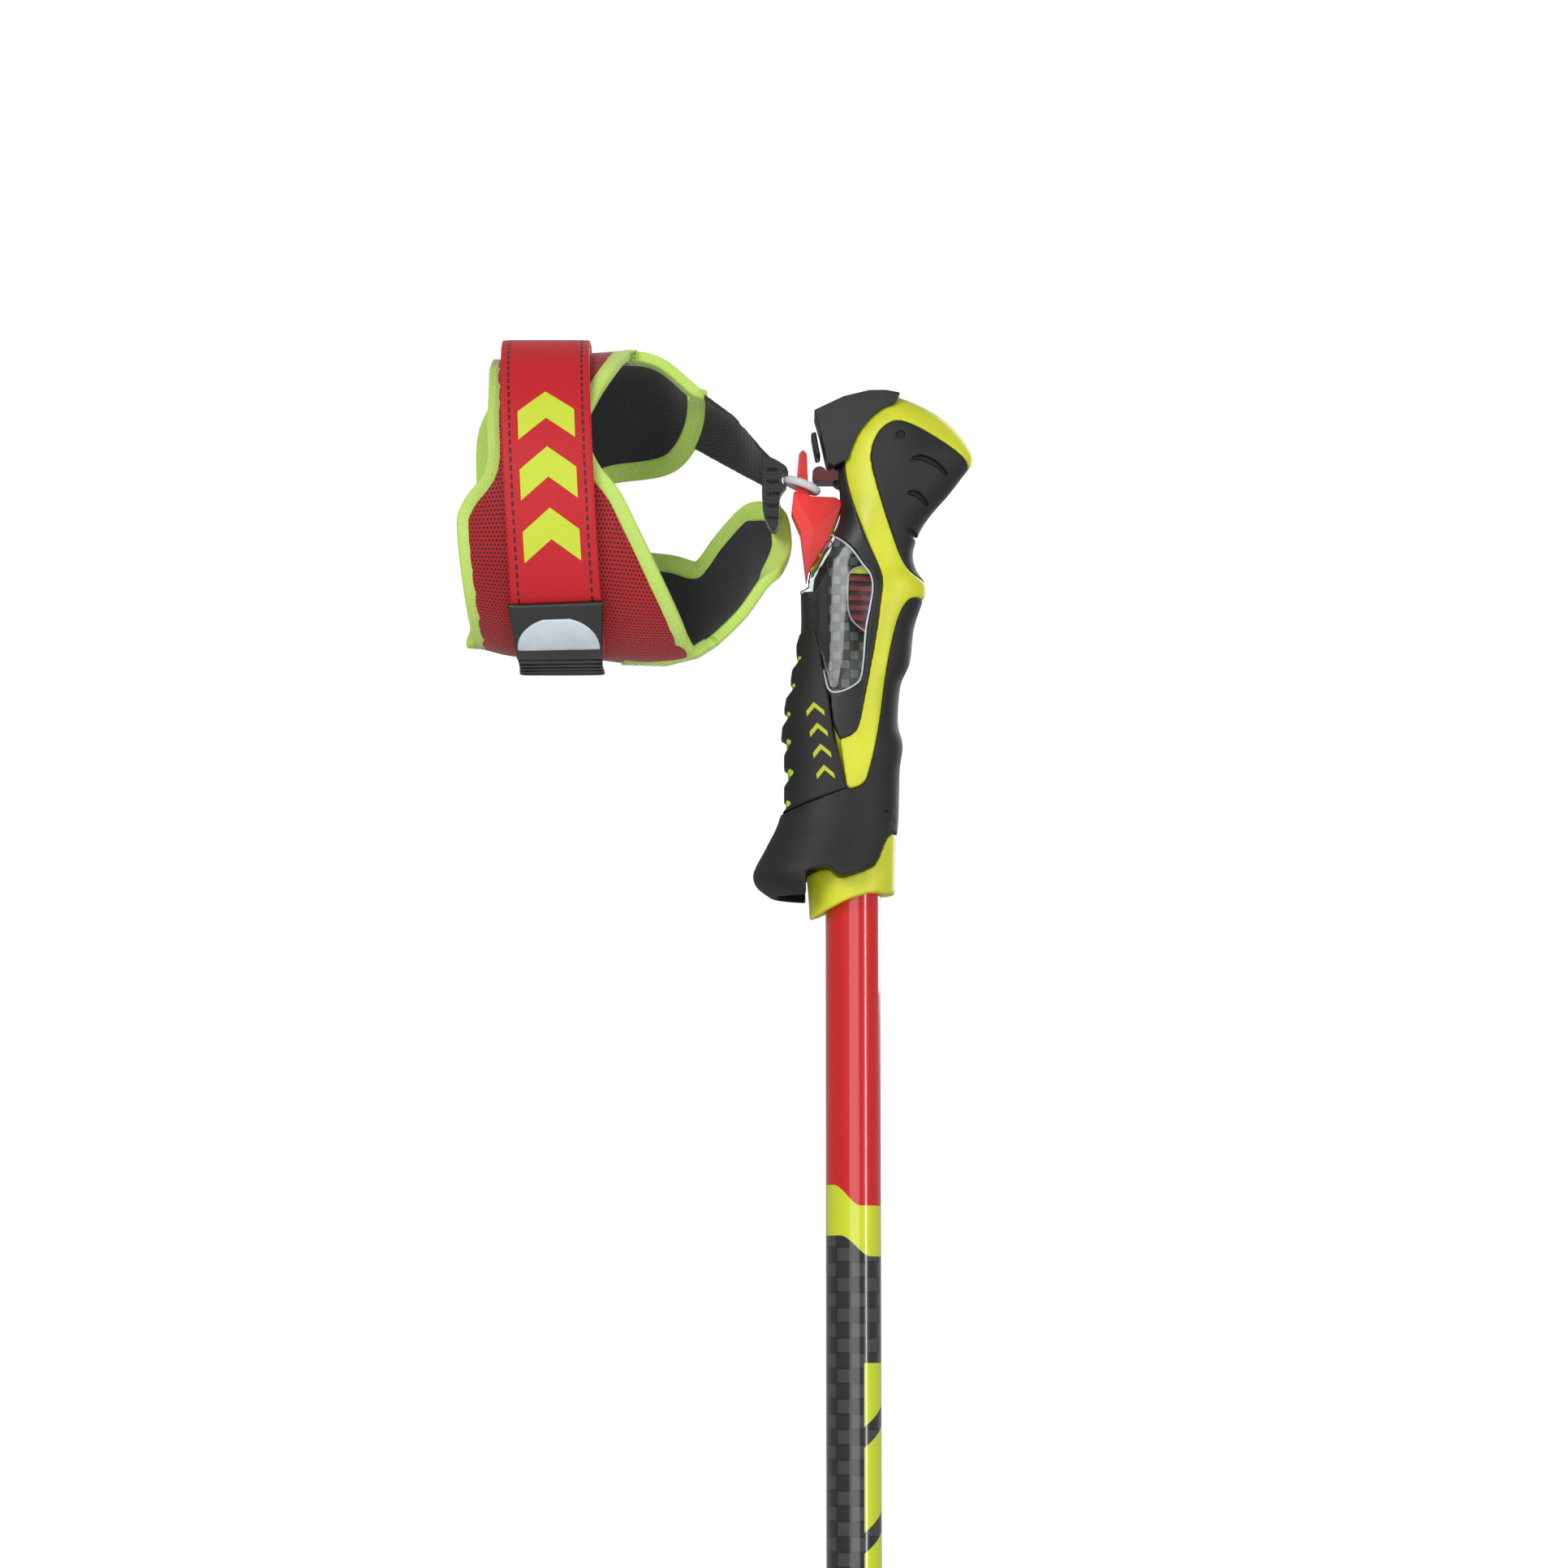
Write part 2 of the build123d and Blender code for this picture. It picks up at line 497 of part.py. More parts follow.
def make_panel(outline, low_y, high_y):
    """A side of the harness and the tape along its edge."""
    whole = harness_shell & side_slab(outline, low_y, high_y)
    inner = inner_outline(outline, low_y, high_y)
    return whole & inner, whole - inner


def make_webbing():
    """Flat webbing from the upper lobe to the knot, on the palm side."""
    band = harness_form(0.0) - harness_form(-1.6)
    piece = band & side_slab(WEBBING, 0.0, FAR)
    return piece - slab(PALM_PANEL) - slab(KNOT)


BELT_DROP, BELT_HALF_HEIGHT, BELT_HALF_DEPTH = 33.0, 45.5, 32.0
BELT_TOP_FAR_Y = 17.0
BELT_BOTTOM_Y = -8.0
LAYER_ONE = 0.5                  # the belt's inner face stands this far off the panel
LAYER_PATCH = LAYER_ONE + BELT_THICKNESS
LAYER_TWO = LAYER_PATCH + BELT_GAP
LAYER_TAB = LAYER_TWO + BELT_THICKNESS


def belt_ring(grow, thickness):
    """Oval band right round the harness, as wide as the belt."""
    plane = Plane(origin=(BELT_FROM_X, 0, height(BELT_DROP)), x_dir=(0, 1, 0), z_dir=(1, 0, 0))
    outer = Ellipse(BELT_HALF_DEPTH + grow + thickness, BELT_HALF_HEIGHT + grow + thickness)
    inner = Ellipse(BELT_HALF_DEPTH + grow, BELT_HALF_HEIGHT + grow)
    return extrude(plane * (outer - inner), amount=BELT_WIDTH, dir=(1, 0, 0))


def belt_layer(grow, thickness, far_y):
    """One layer of the belt: over the top from the far side and down the near side."""
    middle = BELT_FROM_X + BELT_WIDTH / 2
    over_top = Box(80, far_y + 80, 80, align=(Align.CENTER, Align.MAX, Align.MIN))
    near_side = Box(80, BELT_BOTTOM_Y + 80, 80, align=(Align.CENTER, Align.MAX, Align.MAX))
    keep = Pos(middle, far_y, height(BELT_DROP)) * over_top
    keep += Pos(middle, BELT_BOTTOM_Y, height(BELT_DROP)) * near_side
    return belt_ring(grow, thickness) & keep


def near_piece(grow, thickness, inset, top_drop, bottom_drop):
    """Part of a belt layer on the near side between two drops, drawn in at its edges."""
    low_x, high_x = BELT_FROM_X + inset, BELT_FROM_X + BELT_WIDTH - inset
    outline = [(low_x, top_drop), (high_x, top_drop), (high_x, bottom_drop), (low_x, bottom_drop)]
    return belt_ring(grow, thickness) & side_slab(outline, -FAR, BELT_BOTTOM_Y)


RING_Y, RING_UP, RING_SLOPE = 22.6, 39.2, -48.0


def make_ring():
    """Flat ring on the palm side of the fold: the belt runs through its slot."""
    width = BELT_WIDTH + 1.4 + 4 * RING_BAR
    length = RING_INSIDE + 4 * RING_BAR
    frame = Box(width, length, 2 * RING_BAR)
    frame = fillet(frame.edges().filter_by(Axis.Z), 2 * RING_BAR)
    frame -= Box(BELT_WIDTH + 1.4, RING_INSIDE, 4 * RING_BAR)
    middle = BELT_FROM_X + BELT_WIDTH / 2
    place = Pos(middle, RING_Y, height(BELT_DROP) + RING_UP) * Rot(RING_SLOPE, 0, 0)
    return place * frame


def make_ring_tab(ring):
    """Webbing that holds the ring's far bar to the palm panel."""
    middle = BELT_FROM_X + BELT_WIDTH / 2
    block = Pos(middle, RING_Y + 2.5, height(BELT_DROP) + RING_UP - 14.0) * Box(
        BELT_WIDTH - 2.0, 7.0, 20.0, align=(Align.CENTER, Align.CENTER, Align.MIN))
    return (belt_ring(-0.4, 4.6) & block) - harness_form(0.0) - ring


def save(name, shape):
    export_step(shape, os.path.join("parts", name + ".step"))


def make_pole():
    tip_form = turned(tip_outline())
    return {
        "shaft_tube": make_shaft_tube(),
        "tip_sleeve": make_tip_sleeve(tip_form),
        "carbide_tip": make_carbide_tip(),
        "basket": make_basket(tip_form),
    }


def make_grip():
    core_tube = make_core_tube()
    inlays = make_palm_inlays()
    return {
        "core_tube": core_tube,
        "grip_core": make_grip_core(core_tube),
        "damper": make_damper(),
        "upper_pad": make_upper_pad(),
        "side_frame": make_side_frame(),
        "window": make_window(),
        "grip_rubber": make_grip_rubber(),
        "palm_inlays": inlays,
        "palm_pad": make_palm_pad(inlays),
        "catch": make_catch(),
    }


def make_release():
    return {
        "release_lever": make_release_lever(),
        "lever_pin": cross_rod(LEVER_PIN_RADIUS, LEVER_PIN_AT, LEVER_PIN_HALF_LENGTH),
        "lever_spring": make_lever_spring(),
        "trigger": make_trigger(),
        "trigger_pin": cross_rod(TRIGGER_PIN_RADIUS, TRIGGER_PIN_AT, TRIGGER_PIN_HALF_LENGTH),
        "trigger_spring": make_trigger_spring(),
    }


def make_harness():
    palm_panel, palm_binding = make_panel(PALM_PANEL, 0.0, FAR)
    back_panel, back_binding = make_panel(BACK_PANEL, -FAR, 0.0)
    ring = make_ring()
    return {
        "strap_loop": make_strap_loop(),
        "loop_knot": make_knot(),
        "webbing": make_webbing(),
        "palm_panel": palm_panel,
        "palm_binding": palm_binding,
        "back_panel": back_panel,
        "back_binding": back_binding,
        "ring": ring,
        "ring_tab": make_ring_tab(ring),
        "belt_inner": belt_layer(LAYER_ONE, BELT_THICKNESS, BELT_TOP_FAR_Y) - ring,
        "hook_patch": near_piece(LAYER_PATCH, PATCH_THICKNESS, 2.0, 22.0, 60.0),
        "belt_outer": belt_layer(LAYER_TWO, BELT_THICKNESS, BELT_TOP_FAR_Y - 3.0),
        "belt_tab": near_piece(LAYER_TAB, TAB_THICKNESS, 0.0, 62.0, 90.0),
    }


def main():
    os.makedirs("parts", exist_ok=True)
    for group in (make_pole(), make_grip(), make_release(), make_harness()):
        for name, shape in group.items():
            save(name, shape)


main()
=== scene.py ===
import math

import bmesh
import bpy
from mathutils import Matrix, Vector


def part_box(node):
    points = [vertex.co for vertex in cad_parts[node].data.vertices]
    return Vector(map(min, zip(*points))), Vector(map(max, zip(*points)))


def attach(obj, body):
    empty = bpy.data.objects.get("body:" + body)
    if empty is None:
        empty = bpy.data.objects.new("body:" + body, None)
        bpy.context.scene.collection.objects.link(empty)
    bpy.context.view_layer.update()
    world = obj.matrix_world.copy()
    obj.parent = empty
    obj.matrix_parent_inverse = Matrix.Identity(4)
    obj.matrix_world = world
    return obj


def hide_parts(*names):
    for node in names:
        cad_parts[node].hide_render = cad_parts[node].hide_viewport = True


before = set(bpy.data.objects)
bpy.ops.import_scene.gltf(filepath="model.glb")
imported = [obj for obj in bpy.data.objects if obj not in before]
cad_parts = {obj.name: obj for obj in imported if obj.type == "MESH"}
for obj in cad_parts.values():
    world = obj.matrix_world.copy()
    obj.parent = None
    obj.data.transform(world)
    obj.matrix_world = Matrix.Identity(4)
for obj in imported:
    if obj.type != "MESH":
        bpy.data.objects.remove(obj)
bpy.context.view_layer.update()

bl_info = {
    "name": "Race ski pole",
    "version": (1, 0, 0),
    "blender": (4, 5, 0),
    "location": "View3D > Sidebar > Ski pole",
    "description": "Builds the looks of a race ski pole with its hand harness round the CAD frame",
    "category": "Add Mesh",
}

MM = 0.001
SHAFT_TOP_DROP = 95.0
GRIP_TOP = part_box("shaft_tube")[1].z + SHAFT_TOP_DROP * MM
SHAFT_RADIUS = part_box("shaft_tube")[1].x / MM

# Sections of the grip in millimetres: (drop below the grip's top, rear x, front x, half width).
GRIP_SECTIONS = [
    (0.6, 9.5, 14.5, 2.5), (3.0, 5.6, 20.0, 6.5), (7.0, 1.8, 27.0, 9.5),
    (12.0, -2.0, 32.3, 11.3), (17.5, -4.5, 35.7, 12.2), (20.5, -5.2, 35.6, 12.3),
    (24.0, -5.8, 33.0, 12.4), (29.5, -5.5, 28.8, 12.4), (35.6, -5.2, 23.5, 12.2),
    (41.0, -6.6, 20.0, 12.0), (47.5, -11.0, 18.0, 12.0), (52.5, -14.2, 19.0, 12.2),
    (57.5, -15.4, 22.0, 12.8), (63.0, -15.4, 20.4, 13.0), (70.0, -15.4, 18.2, 13.3),
    (80.0, -16.3, 17.0, 13.8), (87.0, -17.0, 14.2, 14.0), (98.0, -18.0, 13.4, 14.2),
    (104.6, -18.0, 14.8, 14.2), (112.0, -18.0, 13.9, 14.2), (123.0, -17.5, 13.5, 13.8),
    (132.0, -16.0, 12.8, 13.2), (145.0, -13.5, 12.4, 12.2), (158.0, -12.6, 11.8, 11.6),
]
PALM_SECTIONS = [
    (68.0, -16.0, 18.0, 13.3), (80.0, -18.0, 17.0, 13.9), (90.0, -20.2, 14.2, 14.3),
    (99.0, -21.4, 13.4, 14.6), (112.0, -21.2, 13.9, 14.6), (128.0, -22.4, 13.5, 14.6),
]
REST_SECTIONS = [
    (110.0, -18.6, 13.9, 14.3), (126.0, -21.4, 13.5, 15.0), (134.2, -25.0, 12.8, 16.6),
    (141.0, -28.6, 12.5, 18.2), (144.0, -29.3, 12.4, 18.6), (147.0, -28.0, 12.2, 18.0),
    (150.0, -24.0, 12.0, 16.8),
]
HOLLOW_SECTIONS = [
    (131.0, -18.0, 4.0, 11.5), (141.0, -25.8, 4.0, 15.6), (146.0, -25.2, 4.0, 15.4),
    (152.0, -21.4, 4.0, 13.6),
]
# Sections of the harness: (x, drop of the middle, half height, half depth).
HARNESS_SECTIONS = [
    (-115.0, 34.0, 40.0, 27.0), (-100.0, 33.0, 45.0, 31.0), (-80.0, 33.0, 45.5, 32.0),
    (-60.0, 34.0, 46.5, 31.0), (-46.0, 38.0, 40.0, 26.0), (-34.0, 37.0, 31.0, 19.0),
    (-27.0, 37.0, 21.5, 13.0), (-19.0, 35.0, 12.5, 8.0),
]

# Side outlines in millimetres: (x, drop).
BAND_REAR = [
    (13.7, -2.0), (9.0, 2.9), (4.4, 6.7), (0.6, 11.7), (-1.8, 17.4), (-2.0, 24.1),
    (0.1, 33.4), (3.9, 44.4), (8.5, 55.6), (8.0, 64.5), (6.3, 76.4), (3.0, 93.8),
    (1.6, 100.3), (-0.4, 103.2), (-3.9, 104.6),
]
BAND_FRONT = [
    (-1.9, 118.9), (0.1, 118.9), (3.0, 117.3), (4.7, 113.2), (7.3, 101.3), (9.7, 83.8),
    (12.1, 72.1), (14.2, 65.7), (16.6, 62.3), (19.0, 61.4), (26.0, 61.6),
]
UPPER_PAD_EDGE = [
    (27.0, 57.6), (20.4, 55.9), (15.2, 51.6), (10.6, 40.4), (7.0, 28.4), (5.4, 20.1),
    (7.0, 14.0), (10.1, 10.4), (14.2, 9.3), (21.4, 12.4), (32.8, 19.6), (35.0, 24.0),
]
WINDOW_EDGE = [
    (-6.1, 42.5), (-0.4, 47.3), (3.2, 52.3), (5.6, 55.6), (6.3, 59.7), (5.4, 65.7),
    (4.2, 72.4), (3.0, 85.3), (0.6, 88.8), (-3.9, 90.7), (-6.8, 89.6), (-8.2, 84.0),
    (-10.8, 73.0), (-13.0, 71.0),
]
PALM_EDGE = [(-13.0, 71.0), (-10.8, 73.0), (-6.8, 92.2), (-5.9, 100.3), (-1.9, 118.9)]
COLLAR_EDGE = [
    (-14.0, 143.5), (-7.5, 142.1), (-3.9, 144.8), (3.2, 142.8), (6.6, 140.4),
    (9.7, 133.3), (11.3, 131.3),
]
COLLAR_RIM = [(-16.0, 158.4), (-10.1, 155.2), (-1.8, 151.2), (4.7, 149.2), (9.4, 149.0)]
TRIGGER_SLOT = [
    (-24.0, 26.5), (-3.0, 27.5), (0.7, 30.4), (2.1, 32.6), (2.1, 35.6), (1.0, 37.4),
    (-3.4, 43.5), (-6.9, 51.6), (-11.0, 58.8), (-24.0, 58.8),
]
LEVER_SLOT = [
    (-12.0, -3.0), (7.5, -3.0), (8.5, 6.0), (14.0, 8.8), (19.0, 9.6), (19.0, 18.6),
    (10.0, 18.6), (-8.0, 15.0), (-12.0, 15.0),
]
LEVER_OUTLINE = [
    (14.2, 0.4), (9.6, -0.4), (4.9, -0.3), (-2.5, 1.5), (-11.3, 5.7), (-9.7, 11.2),
    (-7.9, 19.5), (-7.3, 21.8), (-5.6, 22.4), (0.0, 20.0), (6.0, 9.0), (12.0, 5.0),
]
LEVER_ARM = [(-4.0, 4.0), (3.0, 3.4), (9.0, 9.0), (14.2, 10.6), (14.2, 16.6), (-5.5, 12.0)]
TRIGGER_OUTLINE = [
    (-13.4, 29.9), (-12.5, 30.8), (-4.9, 31.2), (-2.7, 32.7), (-6.3, 42.0), (-9.7, 50.1),
    (-13.7, 56.1), (-15.4, 41.8), (-18.0, 35.6), (-17.3, 29.4),
]
PRONG_OUTLINE = [
    (-14.6, 16.2), (-13.4, 17.6), (-12.9, 31.0), (-16.9, 31.0), (-15.8, 17.6),
]

# Sizes in millimetres of the moving pieces and of the room they have, and their places (x, drop).
PAD_DEPTH = 2.4
TRIGGER_SLOT_HALF = 5.4
LEVER_SLOT_HALF = 3.35
LEVER_HALF = 8.6
LEVER_SIDE_ROOM = 0.3
LEVER_OFF_GRIP = 0.7
LEVER_PIN_AT = (14.2, 13.6)
LEVER_TRAVEL = 4.4
PIN_BORE = 1.15
CATCH_AT = (-9.7, 24.1)
CATCH_CUT = 2.6

# Voxel sizes in millimetres for the close fine pieces and for the large ones.
FINE = 0.4
COARSE = 0.5


# ---------------------------------------------------------------- places and meshes

def at(x, drop, y=0.0):
    """Point of the shared frame from the grip's own measures in millimetres."""
    return Vector((x * MM, y * MM, GRIP_TOP - drop * MM))


def smooth_line(points, steps=6, closed=False):
    """Points on a smooth curve through the given ones."""
    count = len(points)
    spans = count if closed else count - 1
    line = []
    for index in range(spans):
        if closed:
            four = [points[(index + shift) % count] for shift in (-1, 0, 1, 2)]
        else:
            four = [points[min(max(index + shift, 0), count - 1)] for shift in (-1, 0, 1, 2)]
        for step in range(steps):
            line.append(spline_point(four, step / steps))
    if not closed:
        line.append(tuple(points[-1]))
    return line


def spline_point(four, t):
    """Catmull-Rom point between the middle two of four."""
    before, start, end, after = four
    weights = (
        -0.5 * t + t * t - 0.5 * t ** 3,
        1.0 - 2.5 * t * t + 1.5 * t ** 3,
        0.5 * t + 2.0 * t * t - 1.5 * t ** 3,
        -0.5 * t * t + 0.5 * t ** 3,
    )
    return tuple(
        weights[0] * a + weights[1] * b + weights[2] * c + weights[3] * d
        for a, b, c, d in zip(before, start, end, after))


def new_object(name, bm):
    """Mesh object from a bmesh, linked to the scene."""
    mesh = bpy.data.meshes.new(name)
    bm.to_mesh(mesh)
    bm.free()
    piece = bpy.data.objects.new(name, mesh)
    bpy.context.scene.collection.objects.link(piece)
    return piece


def loft_rings(bm, matrices, segments):
    """Skin through circles, each placed by its own matrix, with closed ends."""
    last_edges = None
    ends = []
    for matrix in matrices:
        ring = bmesh.ops.create_circle(bm, segments=segments, radius=1.0, matrix=matrix)["verts"]
        edges = list({edge for vert in ring for edge in vert.link_edges if edge.other_vert(vert) in ring})
        if last_edges:
            bmesh.ops.bridge_loops(bm, edges=last_edges + edges)
        else:
            ends.append(edges)
        last_edges = edges
    ends.append(last_edges)
    for edges in ends:
        bmesh.ops.contextual_create(bm, geom=edges)
    bmesh.ops.recalc_face_normals(bm, faces=bm.faces)


def grip_form(name, sections, inset=0.0, segments=72, steps=5):
    """Upright oval body through sections, drawn in by an inset in millimetres."""
    bm = bmesh.new()
    matrices = []
    for drop, rear, front, half in smooth_line(sections, steps):
        middle = (rear + front) / 2
        reach = max((front - rear) / 2 - inset, 0.4)
        width = max(half - inset, 0.4)
        scale = Matrix.Diagonal((reach * MM, width * MM, 1.0, 1.0))
        matrices.append(Matrix.Translation(at(middle, drop)) @ scale)
    loft_rings(bm, matrices, segments)
    return new_object(name, bm)


def harness_form(name, grow, segments=120, steps=6):
    """Tube about the hand, grown or drawn in by an amount in millimetres."""
    bm = bmesh.new()
    turn = Matrix.Rotation(math.radians(90.0), 4, "Y")
    matrices = []
    for x, drop, half_height, half_depth in smooth_line(HARNESS_SECTIONS, steps):
        scale = Matrix.Diagonal(((half_height + grow) * MM, (half_depth + grow) * MM, 1.0, 1.0))
        matrices.append(Matrix.Translation(at(x, drop)) @ turn @ scale)
    loft_rings(bm, matrices, segments)
    return new_object(name, bm)


def prism(name, outline, low_y=-60.0, high_y=60.0):
    """Side outline pushed through across the grip."""
    bm = bmesh.new()
    verts = [bm.verts.new(at(x, drop, low_y)) for x, drop in outline]
    face = bm.faces.new(verts)
    pushed = bmesh.ops.extrude_face_region(bm, geom=[face])["geom"]
    moved = [item for item in pushed if isinstance(item, bmesh.types.BMVert)]
    bmesh.ops.translate(bm, verts=moved, vec=(0.0, (high_y - low_y) * MM, 0.0))
    bmesh.ops.recalc_face_normals(bm, faces=bm.faces)
    bmesh.ops.triangulate(bm, faces=[face for face in bm.faces if len(face.verts) > 4])
    return new_object(name, bm)


def rod(name, radius, x, drop, half_length, segments=48):
    """Round bar across the grip."""
    bm = bmesh.new()
    turn = Matrix.Rotation(math.radians(90.0), 4, "X")
    bmesh.ops.create_cone(
        bm, cap_ends=True, segments=segments, radius1=radius * MM, radius2=radius * MM,
        depth=2 * half_length * MM, matrix=Matrix.Translation(at(x, drop)) @ turn)
    return new_object(name, bm)


def carve(piece, steps, voxel=0.0, relax=0):
    """Booleans in order, then a fine remesh that rounds the moulded edges, all applied."""
    for operation, tool in steps:
        modifier = piece.modifiers.new("cut", "BOOLEAN")
        modifier.operation = operation
        modifier.solver = "MANIFOLD"
        modifier.object = tool
    if voxel:
        remesh = piece.modifiers.new("skin", "REMESH")
        remesh.mode = "VOXEL"
        remesh.voxel_size = voxel * MM
        remesh.use_smooth_shade = True
    if relax:
        smooth = piece.modifiers.new("relax", "SMOOTH")
        smooth.factor = 0.5
        smooth.iterations = relax
    apply_modifiers(piece)
    if not piece.data.polygons:
        raise RuntimeError(piece.name + " has no faces left after its cuts")


def apply_modifiers(piece):
    """Replaces the piece's mesh with its evaluated one."""
    bpy.context.view_layer.update()
    evaluated = piece.evaluated_get(bpy.context.evaluated_depsgraph_get())
    mesh = bpy.data.meshes.new_from_object(evaluated)
    piece.modifiers.clear()
    piece.data = mesh


def remove_tools(*tools):
    """Deletes the cutters that a piece was carved with."""
    for tool in tools:
        if tool and tool.name in bpy.data.objects:
            bpy.data.objects.remove(tool)


def finish_piece(piece, material, body, replaced=()):
    """Material, smooth shading and body of a finished piece, and hiding of the CAD parts that it stands in
    for.
    """
    piece.data.materials.clear()
    piece.data.materials.append(material)
    for polygon in piece.data.polygons:
        polygon.use_smooth = True
    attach(piece, body)
    if replaced:
        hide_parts(*replaced)
    return piece


def skin_y(sections, x, drop):
    """Half depth of an oval body through sections, at a place on its side."""
    line = smooth_line(sections, 5)
    drop = min(max(drop, line[0][0]), line[-1][0])
    for low, high in zip(line, line[1:]):
        if low[0] <= drop <= high[0]:
            share = (drop - low[0]) / max(high[0] - low[0], 1e-6)
            rear, front, half = (low[i] + share * (high[i] - low[i]) for i in (1, 2, 3))
            away = (x - (rear + front) / 2) / ((front - rear) / 2)
            return half * math.sqrt(max(1.0 - away * away, 0.0))
    return 0.0


def band_along(name, points, ups, half_widths, half_thick, closed=False, corners=16, power=0.45):
    """Rounded strip along points, flat against the given normals, with UV in metres."""
    bm = bmesh.new()
    uv_layer = bm.loops.layers.uv.new("UVMap")
    count = len(points)
    if not isinstance(half_widths, (list, tuple)):
        half_widths = [half_widths] * count
    rings, lengths, along = [], [], 0.0
    for index, point in enumerate(points):
        before = points[(index - 1) % count] if closed or index else point
        after = points[(index + 1) % count] if closed or index < count - 1 else point
        tangent = (after - before).normalized()
        up = (ups[index] - tangent * tangent.dot(ups[index])).normalized()
        side = tangent.cross(up)
        ring = []
        for corner in range(corners):
            turn = 2 * math.pi * corner / corners
            cosine, sine = math.cos(turn), math.sin(turn)
            across = math.copysign(abs(cosine) ** power, cosine) * half_widths[index] * MM
            out = math.copysign(abs(sine) ** power, sine) * half_thick * MM
            ring.append(bm.verts.new(point + side * across + up * out))
        rings.append(ring)
        if index:
            along += (point - points[index - 1]).length
        lengths.append(along)
    spans = count if closed else count - 1
    for index in range(spans):
        first, second = rings[index], rings[(index + 1) % count]
        start = lengths[index]
        end = lengths[index + 1] if index + 1 < count else along + (points[0] - points[-1]).length
        for corner in range(corners):
            following = (corner + 1) % corners
            face = bm.faces.new((first[corner], first[following], second[following], second[corner]))
            spots = []
            for turn_index in (corner, corner + 1):
                turn = 2 * math.pi * turn_index / corners
                cosine = math.cos(turn)
                spots.append(math.copysign(abs(cosine) ** power, cosine) * half_widths[index] * MM)
            values = ((spots[0], start), (spots[1], start), (spots[1], end), (spots[0], end))
            for loop, value in zip(face.loops, values):
                loop[uv_layer].uv = value
    if not closed:
        bm.faces.new(rings[0][::-1])
        bm.faces.new(rings[-1])
    bmesh.ops.recalc_face_normals(bm, faces=bm.faces)
    return new_object(name, bm)


def side_strip(name, curve, up, half_width, half_thick):
    """Strip across the grip that follows a side curve, its flat face turned to up."""
    line = [at(x, drop) for x, drop in smooth_line(curve, 6)]
    return band_along(name, line, [Vector(up)] * len(line), half_width, half_thick)


def cord_along(name, points, radius, closed=False, corners=8):
    """Round cord along points."""
    ups = [Vector((0.0, 0.3, 1.0)) for _ in points]
    return band_along(name, points, ups, radius, radius, closed, corners, power=1.0)


def beads(name, places, half_length, radius):
    """Small stitches, each lying along its own direction at its own place."""
    bm = bmesh.new()
    bm.loops.layers.uv.new("UVMap")
    for place, direction in places:
        turn = direction.to_track_quat("Z", "Y").to_matrix().to_4x4()
        size = Matrix.Diagonal((radius * MM, radius * MM, half_length * MM, 1.0))
        bmesh.ops.create_icosphere(
            bm, subdivisions=1, radius=1.0, matrix=Matrix.Translation(place) @ turn @ size)
    return new_object(name, bm)


def join_pieces(name, parts):
    """One object from several, with their UV maps kept."""
    bm = bmesh.new()
    for part in parts:
        bm.from_mesh(part.data)
    remove_tools(*parts)
    return new_object(name, bm)


def face_uv(piece, place):
    """UV in metres for each corner, from a function of its position."""
    mesh = piece.data
    layer = mesh.uv_layers.get("UVMap") or mesh.uv_layers.new(name="UVMap")
    spots = [place(vertex.co) for vertex in mesh.vertices]
    for polygon in mesh.polygons:
        for index in polygon.loop_indices:
            layer.data[index].uv = spots[mesh.loops[index].vertex_index]


def side_place(point):
    """Flat UV from the side, for small sewn pieces."""
    return (point.x + 0.6 * point.y, point.z)


def harness_middle(x):
    """Drop of the middle, half height and half depth of the hand tube at x."""
    line = smooth_line(HARNESS_SECTIONS, 6)
    x = min(max(x, line[0][0]), line[-1][0])
    for low, high in zip(line, line[1:]):
        if low[0] <= x <= high[0]:
            share = (x - low[0]) / max(high[0] - low[0], 1e-6)
            return tuple(low[i] + share * (high[i] - low[i]) for i in (1, 2, 3))
    return line[-1][1:]


def harness_spot(x, drop, side, grow=0.0):
    """Point on the hand tube's skin and the skin's normal there."""
    middle, high, deep = harness_middle(x)
    high, deep = high + grow, deep + grow
    away = min(max((drop - middle) / high, -0.999), 0.999)
    y = side * deep * math.sqrt(1.0 - away * away)
    normal = Vector((0.0, y / deep ** 2, -(away * high) / high ** 2)).normalized()
    return at(x, middle + away * high, y), normal


def harness_place(point):
    """UV of the hand tube: length along the arm, and round it."""
    drop = (GRIP_TOP - point.z) / MM
    middle, high, deep = harness_middle(point.x / MM)
    turn = math.atan2(point.y / MM / deep, (middle - drop) / high)
    return (point.x, turn * 0.038)


# ---------------------------------------------------------------- shader groups

def new_group(name, inputs, outputs):
    """Empty shader group with named inputs (name, kind, default) and outputs (name, kind)."""
    group = bpy.data.node_groups.new(name, "ShaderNodeTree")
    for label, kind, default in inputs:
        socket = group.interface.new_socket(label, in_out="INPUT", socket_type=kind)
        if default is not None:
            socket.default_value = default
    for label, kind in outputs:
        group.interface.new_socket(label, in_out="OUTPUT", socket_type=kind)
    return group, group.nodes.new("NodeGroupInput"), group.nodes.new("NodeGroupOutput")


